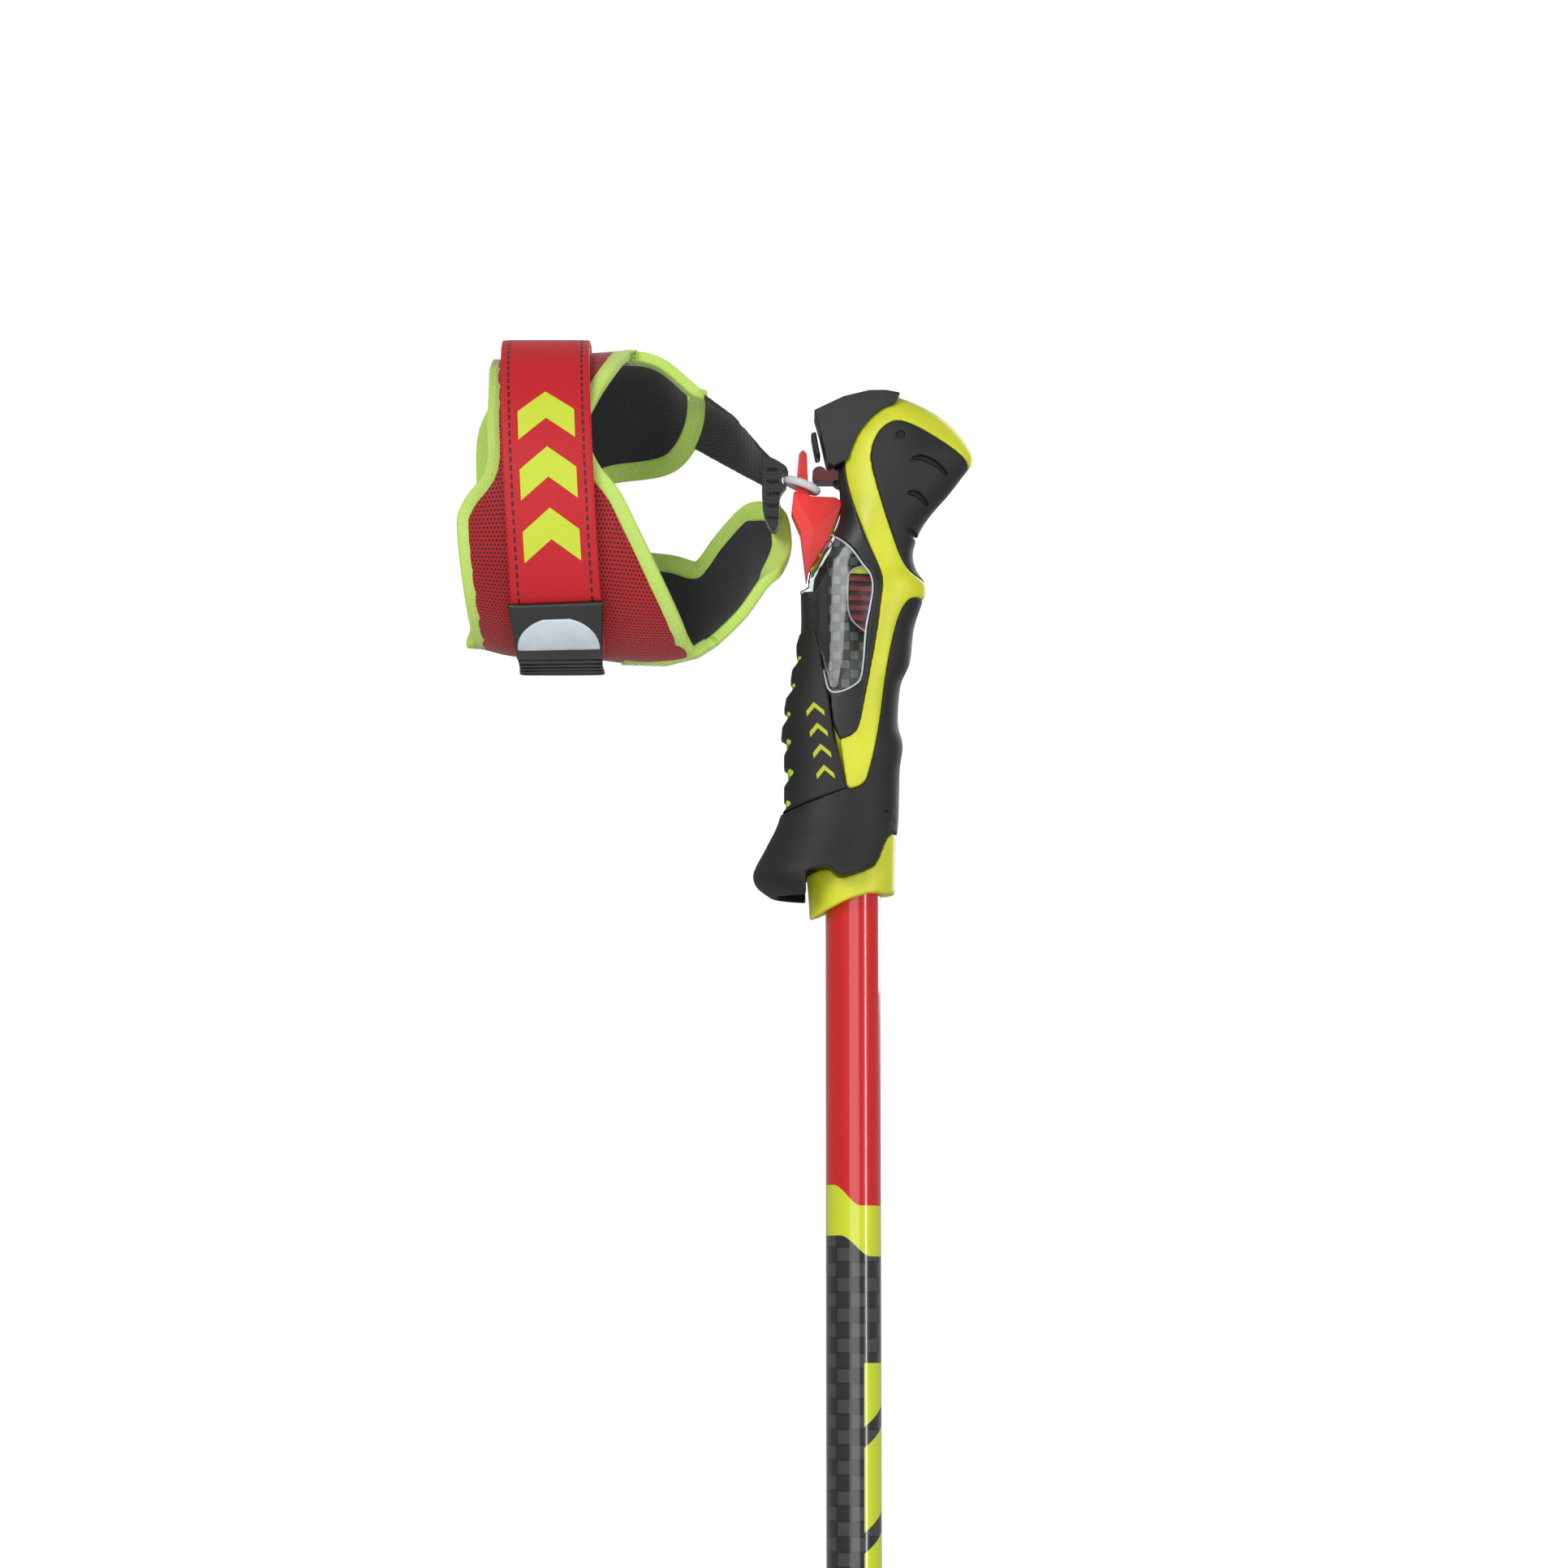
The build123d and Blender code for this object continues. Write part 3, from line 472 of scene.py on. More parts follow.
class Tree:
    """Short names for adding nodes and links to a shader tree."""

    def __init__(self, tree):
        self.tree = tree

    def link(self, source, target):
        self.tree.links.new(source, target)

    def put(self, target, value):
        """Links a socket, or sets a plain value."""
        if isinstance(value, bpy.types.NodeSocket):
            self.link(value, target)
        else:
            target.default_value = value

    def math(self, operation, *values, clamp=False):
        node = self.tree.nodes.new("ShaderNodeMath")
        node.operation = operation
        node.use_clamp = clamp
        for socket, value in zip(node.inputs, values):
            self.put(socket, value)
        return node.outputs[0]

    def mix(self, factor, first, second):
        node = self.tree.nodes.new("ShaderNodeMix")
        node.data_type = "RGBA"
        # The colour sockets share their names with the other kinds', so they go by number.
        self.put(node.inputs[0], factor)
        self.put(node.inputs[6], first)
        self.put(node.inputs[7], second)
        return node.outputs[2]

    def noise(self, vector, scale, detail=3.0, roughness=0.5):
        node = self.tree.nodes.new("ShaderNodeTexNoise")
        self.put(node.inputs["Vector"], vector)
        self.put(node.inputs["Scale"], scale)
        node.inputs["Detail"].default_value = detail
        node.inputs["Roughness"].default_value = roughness
        return node.outputs["Fac"]

    def ramp(self, value, low, high):
        """Smooth step from 0 at low to 1 at high."""
        node = self.tree.nodes.new("ShaderNodeMapRange")
        node.interpolation_type = "SMOOTHSTEP"
        self.put(node.inputs["Value"], value)
        self.put(node.inputs["From Min"], low)
        self.put(node.inputs["From Max"], high)
        return node.outputs["Result"]

    def split(self, vector):
        node = self.tree.nodes.new("ShaderNodeSeparateXYZ")
        self.put(node.inputs[0], vector)
        return node.outputs["X"], node.outputs["Y"], node.outputs["Z"]

    def join(self, x, y, z):
        node = self.tree.nodes.new("ShaderNodeCombineXYZ")
        for socket, value in zip(node.inputs, (x, y, z)):
            self.put(socket, value)
        return node.outputs[0]

    def group(self, group, **values):
        node = self.tree.nodes.new("ShaderNodeGroup")
        node.node_tree = group
        for name, value in values.items():
            self.put(node.inputs[name.replace("_", " ")], value)
        return node.outputs

    def object_place(self):
        return self.tree.nodes.new("ShaderNodeTexCoord").outputs["Object"]

    def uv_place(self):
        return self.tree.nodes.new("ShaderNodeTexCoord").outputs["UV"]


def band(t, value, low, high, soft):
    """1 between low and high, falling to 0 over a soft edge."""
    rise = t.ramp(value, low - soft, low + soft)
    fall = t.ramp(value, high - soft, high + soft)
    return t.math("SUBTRACT", rise, fall, clamp=True)


def grain_group():
    """Fine moulded grain with a few larger, softer marks."""
    group, source, sink = new_group(
        "Moulded grain",
        [("Vector", "NodeSocketVector", None), ("Scale", "NodeSocketFloat", 900.0),
         ("Blotch", "NodeSocketFloat", 60.0)],
        [("Height", "NodeSocketFloat"), ("Tone", "NodeSocketFloat")])
    t = Tree(group)
    fine = t.noise(source.outputs["Vector"], source.outputs["Scale"], 2.0, 0.6)
    broad = t.noise(source.outputs["Vector"], source.outputs["Blotch"], 4.0, 0.55)
    t.link(t.math("MULTIPLY_ADD", broad, 0.4, fine), sink.inputs["Height"])
    t.link(t.ramp(broad, 0.35, 0.7), sink.inputs["Tone"])
    return group


def wear_group():
    """Handling marks: sparse scuffs that a hand leaves on hard plastic."""
    group, source, sink = new_group(
        "Handling wear",
        [("Vector", "NodeSocketVector", None), ("Amount", "NodeSocketFloat", 0.3)],
        [("Mask", "NodeSocketFloat")])
    t = Tree(group)
    x, y, z = t.split(source.outputs["Vector"])
    stretched = t.join(t.math("MULTIPLY", x, 2.0), y, t.math("MULTIPLY", z, 0.35))
    scratches = t.ramp(t.noise(stretched, 900.0, 5.0, 0.7), 0.62, 0.72)
    patches = t.ramp(t.noise(source.outputs["Vector"], 35.0, 3.0), 0.45, 0.65)
    both = t.math("MULTIPLY", scratches, patches)
    t.link(t.math("MULTIPLY", both, source.outputs["Amount"]), sink.inputs["Mask"])
    return group


def weave_group():
    """Plain weave from a cloth's own coordinates in metres: thread height and warp mask."""
    group, source, sink = new_group(
        "Plain weave",
        [("Vector", "NodeSocketVector", None), ("Pitch", "NodeSocketFloat", 0.0008)],
        [("Height", "NodeSocketFloat"), ("Warp", "NodeSocketFloat"), ("Fuzz", "NodeSocketFloat")])
    t = Tree(group)
    u, v, _ = t.split(source.outputs["Vector"])
    turns_u = t.math("MULTIPLY", t.math("DIVIDE", u, source.outputs["Pitch"]), math.pi)
    turns_v = t.math("MULTIPLY", t.math("DIVIDE", v, source.outputs["Pitch"]), math.pi)
    across = t.math("ABSOLUTE", t.math("SINE", turns_u))
    along = t.math("ABSOLUTE", t.math("SINE", turns_v))
    over = t.math("MULTIPLY", t.math("SINE", turns_u), t.math("SINE", turns_v))
    warp = t.ramp(over, -0.15, 0.15)
    height = t.math("ADD", t.math("MULTIPLY", across, warp),
                    t.math("MULTIPLY", along, t.math("SUBTRACT", 1.0, warp)))
    t.link(height, sink.inputs["Height"])
    t.link(warp, sink.inputs["Warp"])
    t.link(t.noise(source.outputs["Vector"], 1800.0, 2.0), sink.inputs["Fuzz"])
    return group


def carbon_group():
    """Wide flat tows, woven as a check: height, and a tone with fibre lines that paints sheen on one tow
    direction and shade at the tow edges.
    """
    group, source, sink = new_group(
        "Carbon tows",
        [("U", "NodeSocketFloat", 0.0), ("V", "NodeSocketFloat", 0.0),
         ("Width", "NodeSocketFloat", 0.0045), ("Length", "NodeSocketFloat", 0.0087)],
        [("Tone", "NodeSocketFloat"), ("Height", "NodeSocketFloat")])
    t = Tree(group)
    column = t.math("DIVIDE", source.outputs["U"], source.outputs["Width"])
    row = t.math("DIVIDE", source.outputs["V"], source.outputs["Length"])
    shifted = t.math("ADD", row, t.math("MULTIPLY", t.math("FLOOR", column), 0.5))
    step = t.math("FRACT", shifted)
    side = t.math("FRACT", column)
    upright = t.ramp(step, 0.44, 0.56)
    crown_v = t.math("SINE", t.math("MULTIPLY", t.math("FRACT", t.math("MULTIPLY", shifted, 2.0)), math.pi))
    crown_u = t.math("SINE", t.math("MULTIPLY", side, math.pi))
    lines_u = t.noise(t.join(t.math("MULTIPLY", source.outputs["U"], 9.0), 0.0, source.outputs["V"]), 900.0)
    lines_v = t.noise(t.join(source.outputs["U"], 0.0, t.math("MULTIPLY", source.outputs["V"], 9.0)), 900.0)
    fibres = t.math("ADD", t.math("MULTIPLY", lines_u, upright),
                    t.math("MULTIPLY", lines_v, t.math("SUBTRACT", 1.0, upright)))
    # Tow edges darker: painted shade where the tows dip under each other.
    edges = t.math("MULTIPLY", t.ramp(crown_u, 0.0, 0.35), t.ramp(crown_v, 0.0, 0.35))
    # Tows of one direction painted lighter: a painted sheen of the fibres.
    painted_tow_sheen = t.math("MULTIPLY_ADD", upright, 0.62, 0.2)
    tone = t.math("MULTIPLY", t.math("MULTIPLY", painted_tow_sheen, edges), t.math("MULTIPLY_ADD", fibres, 0.9, 0.5))
    t.link(tone, sink.inputs["Tone"])
    t.link(t.math("MULTIPLY_ADD", fibres, 0.3, edges), sink.inputs["Height"])
    return group


# ---------------------------------------------------------------- materials

GROUPS = {}


def shared(name):
    """A shader group, built the first time that it is asked for."""
    makers = {
        "grain": grain_group, "wear": wear_group, "weave": weave_group, "carbon": carbon_group}
    if name not in GROUPS:
        GROUPS[name] = makers[name]()
    return GROUPS[name]


def new_material(name, **constants):
    """Material with a Principled shader whose plain sockets are set here."""
    material = bpy.data.materials.new(name)
    material.use_nodes = True
    shader = material.node_tree.nodes["Principled BSDF"]
    for label, value in constants.items():
        shader.inputs[label.replace("_", " ")].default_value = value
    return material, Tree(material.node_tree), shader


def bump(t, shader, height, strength, distance):
    """Surface relief from a height, with its depth in millimetres."""
    node = t.tree.nodes.new("ShaderNodeBump")
    node.inputs["Strength"].default_value = strength
    node.inputs["Distance"].default_value = distance * MM
    t.link(height, node.inputs["Height"])
    t.link(node.outputs["Normal"], shader.inputs["Normal"])


def rgb(red, green, blue):
    """Linear colour from the values that a screen shows."""
    return tuple(((value / 255.0 + 0.055) / 1.055) ** 2.4 if value > 10 else value / 255.0 / 12.92
                 for value in (red, green, blue)) + (1.0,)


def shade(colour, share):
    """A darker tone of a colour."""
    return tuple(value * share for value in colour[:3]) + (1.0,)


def moulded(name, dark, light, roughness, grain=900.0, depth=0.02, wear=0.25, coat=0.0):
    """Injection-moulded plastic or rubber: grain, tone blotches and handling marks."""
    material, t, shader = new_material(name, Coat_Weight=coat, Coat_Roughness=0.12)
    place = t.object_place()
    moulding = t.group(shared("grain"), Vector=place, Scale=grain)
    marks = t.group(shared("wear"), Vector=place, Amount=wear)["Mask"]
    colour = t.mix(moulding["Tone"], dark, light)
    worn = t.mix(marks, colour, tuple(min(value * 1.8 + 0.03, 1.0) for value in light[:3]) + (1.0,))
    t.link(worn, shader.inputs["Base Color"])
    rough = t.math("MULTIPLY_ADD", moulding["Tone"], 0.08, roughness)
    t.link(t.math("ADD", rough, t.math("MULTIPLY", marks, 0.2)), shader.inputs["Roughness"])
    bump(t, shader, moulding["Height"], 0.5, depth)
    return material


# Sizes in metres of the printed marks, which the shaders measure in metres too.
PALM_MARK = {"top": 0.092, "length": 0.026, "step": 0.0062, "half": 0.0026, "x": -0.0118, "lean": 9.0}
SHAFT_BAND = {"from": 0.2338, "to": 0.2484, "rise": 0.006, "edge": 0.0001}
SHAFT_MARK = {"from": 0.285, "to": 0.515, "step": 0.030, "slant": 0.006}
BELT_SEAM = {"inner": 0.0103, "outer": 0.0110, "stitch": 0.0026}
BELT_MARK = {"from": 0.034, "to": 0.088, "step": 0.018, "half": 0.0082, "slant": 0.8}
BELT_THREAD = 0.0007
CORE_TUBE = {"x": -0.0015, "radius": 0.0058}


def palm_rubber(name, dark, light, ink):
    """Grip rubber with a column of small generic chevrons along the palm pad."""
    material = moulded(name, dark, light, 0.58, 1500.0, 0.03)
    tree = material.node_tree
    t, shader = Tree(tree), tree.nodes["Principled BSDF"]
    x, _, z = t.split(t.object_place())
    lean = math.tan(math.radians(PALM_MARK["lean"]))
    drop = t.math("SUBTRACT", GRIP_TOP - PALM_MARK["top"], z)
    across = t.math("SUBTRACT", t.math("SUBTRACT", x, PALM_MARK["x"]), t.math("MULTIPLY", drop, lean))
    away = t.math("ABSOLUTE", across)
    cell = t.math("FRACT", t.math("DIVIDE", t.math("SUBTRACT", drop, away), PALM_MARK["step"]))
    inside = t.math("LESS_THAN", away, PALM_MARK["half"])
    stroke = t.math("MULTIPLY", band(t, cell, 0.25, 0.5, 0.03), inside)
    mark = t.math("MULTIPLY", stroke, band(t, drop, 0.0, PALM_MARK["length"], 0.0001))
    plain = shader.inputs["Base Color"].links[0].from_socket
    t.link(t.mix(mark, plain, ink), shader.inputs["Base Color"])
    return material


def shaft_paint():
    """Clear-coated tube: red lacquer, a stepped lime band, then bare carbon with lime marks."""
    material, t, shader = new_material("shaft_paint", Coat_Weight=1.0, Coat_Roughness=0.04)
    x, y, z = t.split(t.object_place())
    angle = t.math("ARCTAN2", y, x)
    u = t.math("MULTIPLY", angle, SHAFT_RADIUS * MM)
    drop = t.math("SUBTRACT", GRIP_TOP, z)
    # Both edges of the lime band step down towards the finger side.
    rise, edge = SHAFT_BAND["rise"], SHAFT_BAND["edge"]
    upper = t.math("MULTIPLY_ADD", t.ramp(x, -0.006, 0.002), rise, SHAFT_BAND["from"])
    lower = t.math("MULTIPLY_ADD", t.ramp(x, -0.004, 0.005), rise, SHAFT_BAND["to"])
    past_red = t.ramp(t.math("SUBTRACT", drop, upper), -edge, edge)
    past_lime = t.ramp(t.math("SUBTRACT", drop, lower), -edge, edge)
    tows = t.group(shared("carbon"), U=u, V=z)
    # The light tows are painted sheen and the dark tow edges painted shade, from the tow group.
    carbon = t.mix(tows["Tone"], rgb(6, 6, 7), rgb(66, 67, 70))
    # The marks lie on one side of the tube, between two angles in radians.
    first_angle, last_angle = -1.2, 0.86
    from_middle = t.math("ABSOLUTE", t.math("SUBTRACT", angle, (first_angle + last_angle) / 2))
    slant = t.math("MULTIPLY_ADD", from_middle, SHAFT_MARK["slant"], z)
    cell = t.math("FRACT", t.math("DIVIDE", slant, SHAFT_MARK["step"]))
    across = band(t, angle, first_angle, last_angle, 0.01)
    along = band(t, drop, SHAFT_MARK["from"], SHAFT_MARK["to"], 0.0002)
    mark = t.math("MULTIPLY", t.math("MULTIPLY", band(t, cell, 0.1, 0.9, 0.004), across), along)
    marked = t.mix(mark, carbon, rgb(206, 222, 30))
    banded = t.mix(past_lime, rgb(210, 220, 30), marked)
    t.link(t.mix(past_red, rgb(206, 0, 12), banded), shader.inputs["Base Color"])
    bare = t.math("MULTIPLY", past_lime, t.math("SUBTRACT", 1.0, mark))
    fleck = t.noise(t.object_place(), 2400.0, 2.0)
    t.link(t.math("MULTIPLY_ADD", fleck, 0.06, 0.2), shader.inputs["Roughness"])
    height = t.math("MULTIPLY", tows["Height"], bare)
    bump(t, shader, height, 0.25, 0.05)
    return material


def carbon_tube(name):
    """Bare glossy carbon for the tube in the window, with painted sheen on its tows and painted shade at
    their edges.
    """
    material, t, shader = new_material(name, Coat_Weight=0.3, Coat_Roughness=0.12, Roughness=0.42)
    x, y, z = t.split(t.object_place())
    turn = t.math("ARCTAN2", y, t.math("SUBTRACT", x, CORE_TUBE["x"]))
    u = t.math("MULTIPLY", turn, CORE_TUBE["radius"])
    tows = t.group(shared("carbon"), U=u, V=z, Width=0.0028, Length=0.0056)
    # The light grey of the tows is a painted sheen; their darker edges are painted shade.
    t.link(t.mix(tows["Tone"], rgb(10, 10, 11), rgb(128, 130, 134)), shader.inputs["Base Color"])
    bump(t, shader, tows["Height"], 0.3, 0.05)
    return material


def cloth(name, dark, light, pitch, depth=0.12, sheen=0.4, roughness=0.75):
    """Woven cloth on the piece's own UV map, in metres, with painted shade between its threads."""
    material, t, shader = new_material(name, Sheen_Weight=sheen, Sheen_Roughness=0.4)
    place = t.uv_place()
    threads = t.group(shared("weave"), Vector=place, Pitch=pitch)
    # Thread crowns lighter and the gaps between threads darker: painted shade in the weave.
    tone = t.math("MULTIPLY_ADD", threads["Fuzz"], 0.5, t.math("MULTIPLY", threads["Height"], 0.5))
    colour = t.mix(tone, dark, light)
    broad = t.ramp(t.noise(t.object_place(), 45.0, 3.0), 0.3, 0.8)
    t.link(t.mix(t.math("MULTIPLY", broad, 0.25), colour, dark), shader.inputs["Base Color"])
    t.link(t.math("MULTIPLY_ADD", threads["Warp"], 0.08, roughness), shader.inputs["Roughness"])
    bump(t, shader, threads["Height"], 0.7, depth)
    return material


def printed_belt(name, dark, light):
    """Belt cloth with stitched edges and generic lime chevrons, on the piece's own UV map."""
    material, t, shader = new_material(name, Sheen_Weight=0.15, Sheen_Roughness=0.4)
    place = t.uv_place()
    threads = t.group(shared("weave"), Vector=place, Pitch=BELT_THREAD)
    u, v, _ = t.split(place)
    away = t.math("ABSOLUTE", u)
    # Thread crowns lighter and the gaps between threads darker: painted shade in the weave.
    tone = t.math("MULTIPLY_ADD", threads["Fuzz"], 0.5, t.math("MULTIPLY", threads["Height"], 0.5))
    dash = t.ramp(t.math("FRACT", t.math("DIVIDE", v, BELT_SEAM["stitch"])), 0.28, 0.4)
    seam = t.math("MULTIPLY", band(t, away, BELT_SEAM["inner"], BELT_SEAM["outer"], 0.0001), dash)
    slant = t.math("DIVIDE", t.math("MULTIPLY_ADD", away, BELT_MARK["slant"], v), BELT_MARK["step"])
    chevron = band(t, t.math("FRACT", slant), 0.25, 0.75, 0.008)
    inside = t.math("LESS_THAN", away, BELT_MARK["half"])
    area = t.math("MULTIPLY", inside, band(t, v, BELT_MARK["from"], BELT_MARK["to"], 0.0002))
    ink = t.math("MULTIPLY", chevron, area)
    cloth_tone = t.mix(tone, dark, light)
    sewn = t.mix(seam, cloth_tone, rgb(64, 12, 22))
    t.link(t.mix(ink, sewn, rgb(204, 222, 52)), shader.inputs["Base Color"])
    t.link(t.math("MULTIPLY_ADD", threads["Warp"], 0.08, 0.5), shader.inputs["Roughness"])
    bump(t, shader, t.math("SUBTRACT", threads["Height"], seam), 0.7, 0.09)
    return material


def mesh_cloth(name, dark, light, pitch):
    """Open sports mesh: rows of small holes, painted dark red as shade in the openings, in a shining knit.
    """
    material, t, shader = new_material(name, Sheen_Weight=0.5, Sheen_Roughness=0.35)
    u, v, _ = t.split(t.uv_place())
    row = t.math("DIVIDE", v, pitch)
    shift = t.math("MULTIPLY", t.math("FLOOR", row), 0.5)
    column = t.math("ADD", t.math("DIVIDE", u, pitch), shift)
    du = t.math("SUBTRACT", t.math("FRACT", column), 0.5)
    dv = t.math("SUBTRACT", t.math("FRACT", row), 0.5)
    away = t.math("SQRT", t.math("ADD", t.math("MULTIPLY", du, du), t.math("MULTIPLY", dv, dv)))
    solid = t.ramp(away, 0.2, 0.36)
    fuzz = t.noise(t.object_place(), 1500.0, 2.0)
    knit = t.mix(fuzz, light, shade(light, 0.6))
    # The holes get the dark red: painted shade in the openings of the knit.
    t.link(t.mix(solid, dark, knit), shader.inputs["Base Color"])
    t.link(t.math("MULTIPLY_ADD", fuzz, 0.2, 0.55), shader.inputs["Roughness"])
    bump(t, shader, solid, 0.8, 0.25)
    return material


def clear_cover(name):
    """Clear glossy polycarbonate with faint flow marks."""
    material, t, shader = new_material(
        name, Transmission_Weight=1.0, IOR=1.3, Metallic=0.0, Base_Color=(0.95, 0.97, 0.98, 1.0))
    flow = t.noise(t.object_place(), 120.0, 2.0)
    t.link(t.math("MULTIPLY_ADD", flow, 0.04, 0.03), shader.inputs["Roughness"])
    t.link(t.mix(flow, rgb(238, 242, 244), rgb(250, 252, 252)), shader.inputs["Base Color"])
    return material


def metal(name, tone, roughness):
    """Ground or drawn metal with fine turned lines."""
    material, t, shader = new_material(name, Metallic=1.0)
    x, y, z = t.split(t.object_place())
    lines = t.noise(t.join(x, y, t.math("MULTIPLY", z, 12.0)), 700.0, 3.0)
    t.link(t.mix(lines, shade(tone, 0.7), tone), shader.inputs["Base Color"])
    t.link(t.math("MULTIPLY_ADD", lines, 0.2, roughness), shader.inputs["Roughness"])
    bump(t, shader, lines, 0.2, 0.01)
    return material


def make_materials():
    """Every finish, by a maker's name for it."""
    finish = bpy.context.scene.pole_finish
    rubber, lime, trigger = tuple(finish.rubber), tuple(finish.lime), tuple(finish.trigger)
    belt_reds = (rgb(154, 0, 14), rgb(222, 2, 26))
    return {
        "rubber": moulded("grip_rubber", shade(rubber, 0.3), shade(rubber, 0.7), 0.58, 1500.0, 0.03),
        "palm": palm_rubber("palm_rubber", shade(rubber, 0.3), shade(rubber, 0.6), shade(lime, 0.75)),
        "frame": moulded("frame_plastic", rgb(16, 16, 18), rgb(32, 32, 34), 0.42, 1200.0, 0.012),
        "lime": moulded("lime_plastic", shade(lime, 0.85), lime, 0.36, 700.0, 0.008, 0.12),
        "inlay": moulded("soft_inlay", rgb(176, 214, 50), rgb(206, 228, 96), 0.5, 1200.0, 0.01),
        "lever": moulded("lever_plastic", rgb(22, 22, 24), rgb(40, 40, 42), 0.5, 1600.0, 0.03),
        "trigger": moulded("trigger_red", shade(trigger, 0.75), trigger, 0.3, 500.0, 0.006, 0.1),
        # The catch is painted a dark red: painted shade of a red part that sits in shadow under the head.
        "catch": moulded("catch_red", rgb(58, 8, 14), rgb(92, 16, 22), 0.35, 600.0, 0.01),
        "insert": moulded("red_insert", rgb(104, 10, 10), rgb(150, 24, 22), 0.4, 700.0, 0.01),
        "tip": moulded("tip_plastic", rgb(24, 24, 25), rgb(46, 46, 48), 0.5, 900.0, 0.02),
        "basket": moulded("basket_plastic", rgb(26, 26, 28), rgb(50, 50, 53), 0.45, 800.0, 0.02),
        "ring": moulded("ring_plastic", rgb(12, 12, 13), rgb(26, 26, 28), 0.2, 500.0, 0.004, 0.1, 0.6),
        "tab": moulded("tab_rubber", rgb(10, 10, 12), rgb(24, 24, 27), 0.22, 600.0, 0.01, 0.15, 0.4),
        # The tab badge's own white, also used on the window's cords as a painted highlight of the cover's
        # edges.
        "badge": moulded("white_badge_and_highlight_rim_plastic", rgb(188, 200, 210), rgb(216, 224, 232), 0.35, 600.0, 0.006),
        "pins": metal("pin_steel", rgb(52, 53, 56), 0.35),
        "springs": metal("spring_steel", rgb(150, 152, 156), 0.3),
        "carbide": metal("carbide", rgb(130, 132, 136), 0.3),
        "shaft": shaft_paint(),
        "tube": carbon_tube("weave_tube"),
        "window": clear_cover("clear_window"),
        "belt": cloth("red_belt", *belt_reds, BELT_THREAD, 0.08, 0.15, 0.5),
        "belt_print": printed_belt("red_belt_print", *belt_reds),
        "lining": cloth("lining", rgb(18, 18, 21), rgb(54, 54, 60), 0.0009, 0.15),
        "tape": cloth("lime_tape", rgb(168, 212, 72), rgb(214, 240, 124), 0.0006, 0.08, 0.4, 0.65),
        "webbing": cloth("black_webbing", rgb(14, 14, 15), rgb(48, 48, 52), 0.0011, 0.2, 0.3, 0.6),
        "mesh": mesh_cloth("red_mesh", rgb(44, 6, 10), rgb(196, 8, 26), 0.0011),
        "hook": cloth("hook_tape", rgb(14, 14, 16), rgb(44, 44, 48), 0.0014, 0.4, 0.2, 0.8),
        "cord": cloth("white_cord", rgb(176, 184, 190), rgb(240, 244, 246), 0.0005, 0.1, 0.4, 0.7),
        "thread": cloth("stitch_thread", rgb(206, 214, 196), rgb(246, 248, 240), 0.0004, 0.05, 0.3, 0.7),
    }


MATERIALS = {}


def paint(name):
    """A finish by its name. All of them are made at the first call."""
    if not MATERIALS:
        MATERIALS.update(make_materials())
    return MATERIALS[name]


# ---------------------------------------------------------------- grip pieces

def engraved(name, curves, depth, half=0.35):
    """Cutter for shallow grooves that follow side curves, no deeper than depth under the skin."""
    tools = []
    for index, curve in enumerate(curves):
        line = smooth_line(curve, 6)
        upper, lower = [], []
        for spot, (x, drop) in enumerate(line):
            taper = half * math.sin(math.pi * (spot + 0.6) / (len(line) + 0.2)) + 0.05
            before, after = line[max(spot - 1, 0)], line[min(spot + 1, len(line) - 1)]
            along = Vector((after[0] - before[0], after[1] - before[1])).normalized() * taper
            upper.append((x + along.y, drop - along.x))
            lower.append((x - along.y, drop + along.x))
        tools.append(prism(name + str(index), upper + lower[::-1]))
    keep = grip_form(name + "_keep", GRIP_SECTIONS, depth)
    for tool in tools:
        carve(tool, [("DIFFERENCE", keep)])
    remove_tools(keep)
    return tools


def trigger_room():
    """The slot that the trigger turns in."""
    return prism("tool_trigger", TRIGGER_SLOT, -TRIGGER_SLOT_HALF, TRIGGER_SLOT_HALF)


def lever_room():
    """The slot that the lever's arm turns in."""
    return prism("tool_lever", LEVER_SLOT, -LEVER_SLOT_HALF, LEVER_SLOT_HALF)


def pin_bore():
    """The hole for the lever's pin, right through the head."""
    return rod("tool_bore", PIN_BORE, *LEVER_PIN_AT, 16.0)


def cuts(*tools):
    """Carving steps that take each tool away."""
    return [("DIFFERENCE", tool) for tool in tools]


def build_upper_pad():
    """Black rubber on the sides of the head, with its creases."""
    edge = smooth_line(UPPER_PAD_EDGE, 4)
    region = prism("tool", edge + [(50.0, 24.0), (50.0, 57.6)])
    inner = grip_form("tool_inner", GRIP_SECTIONS, PAD_DEPTH)
    bore = pin_bore()
    creases = engraved("crease", [
        [(16.2, 21.6), (20.0, 20.6), (25.0, 22.6), (29.5, 26.6)],
        [(15.8, 31.2), (19.0, 31.4), (23.2, 34.8)],
        [(15.8, 41.6), (17.6, 42.0), (19.6, 43.8)]], 1.5, 0.7)
    pad = grip_form("upper_pad_skin", GRIP_SECTIONS)
    carve(pad, [("INTERSECT", region)] + cuts(inner, bore, *creases), FINE, 4)
    remove_tools(region, inner, bore, *creases)
    finish_piece(pad, paint("rubber"), "pole", ["upper_pad"])


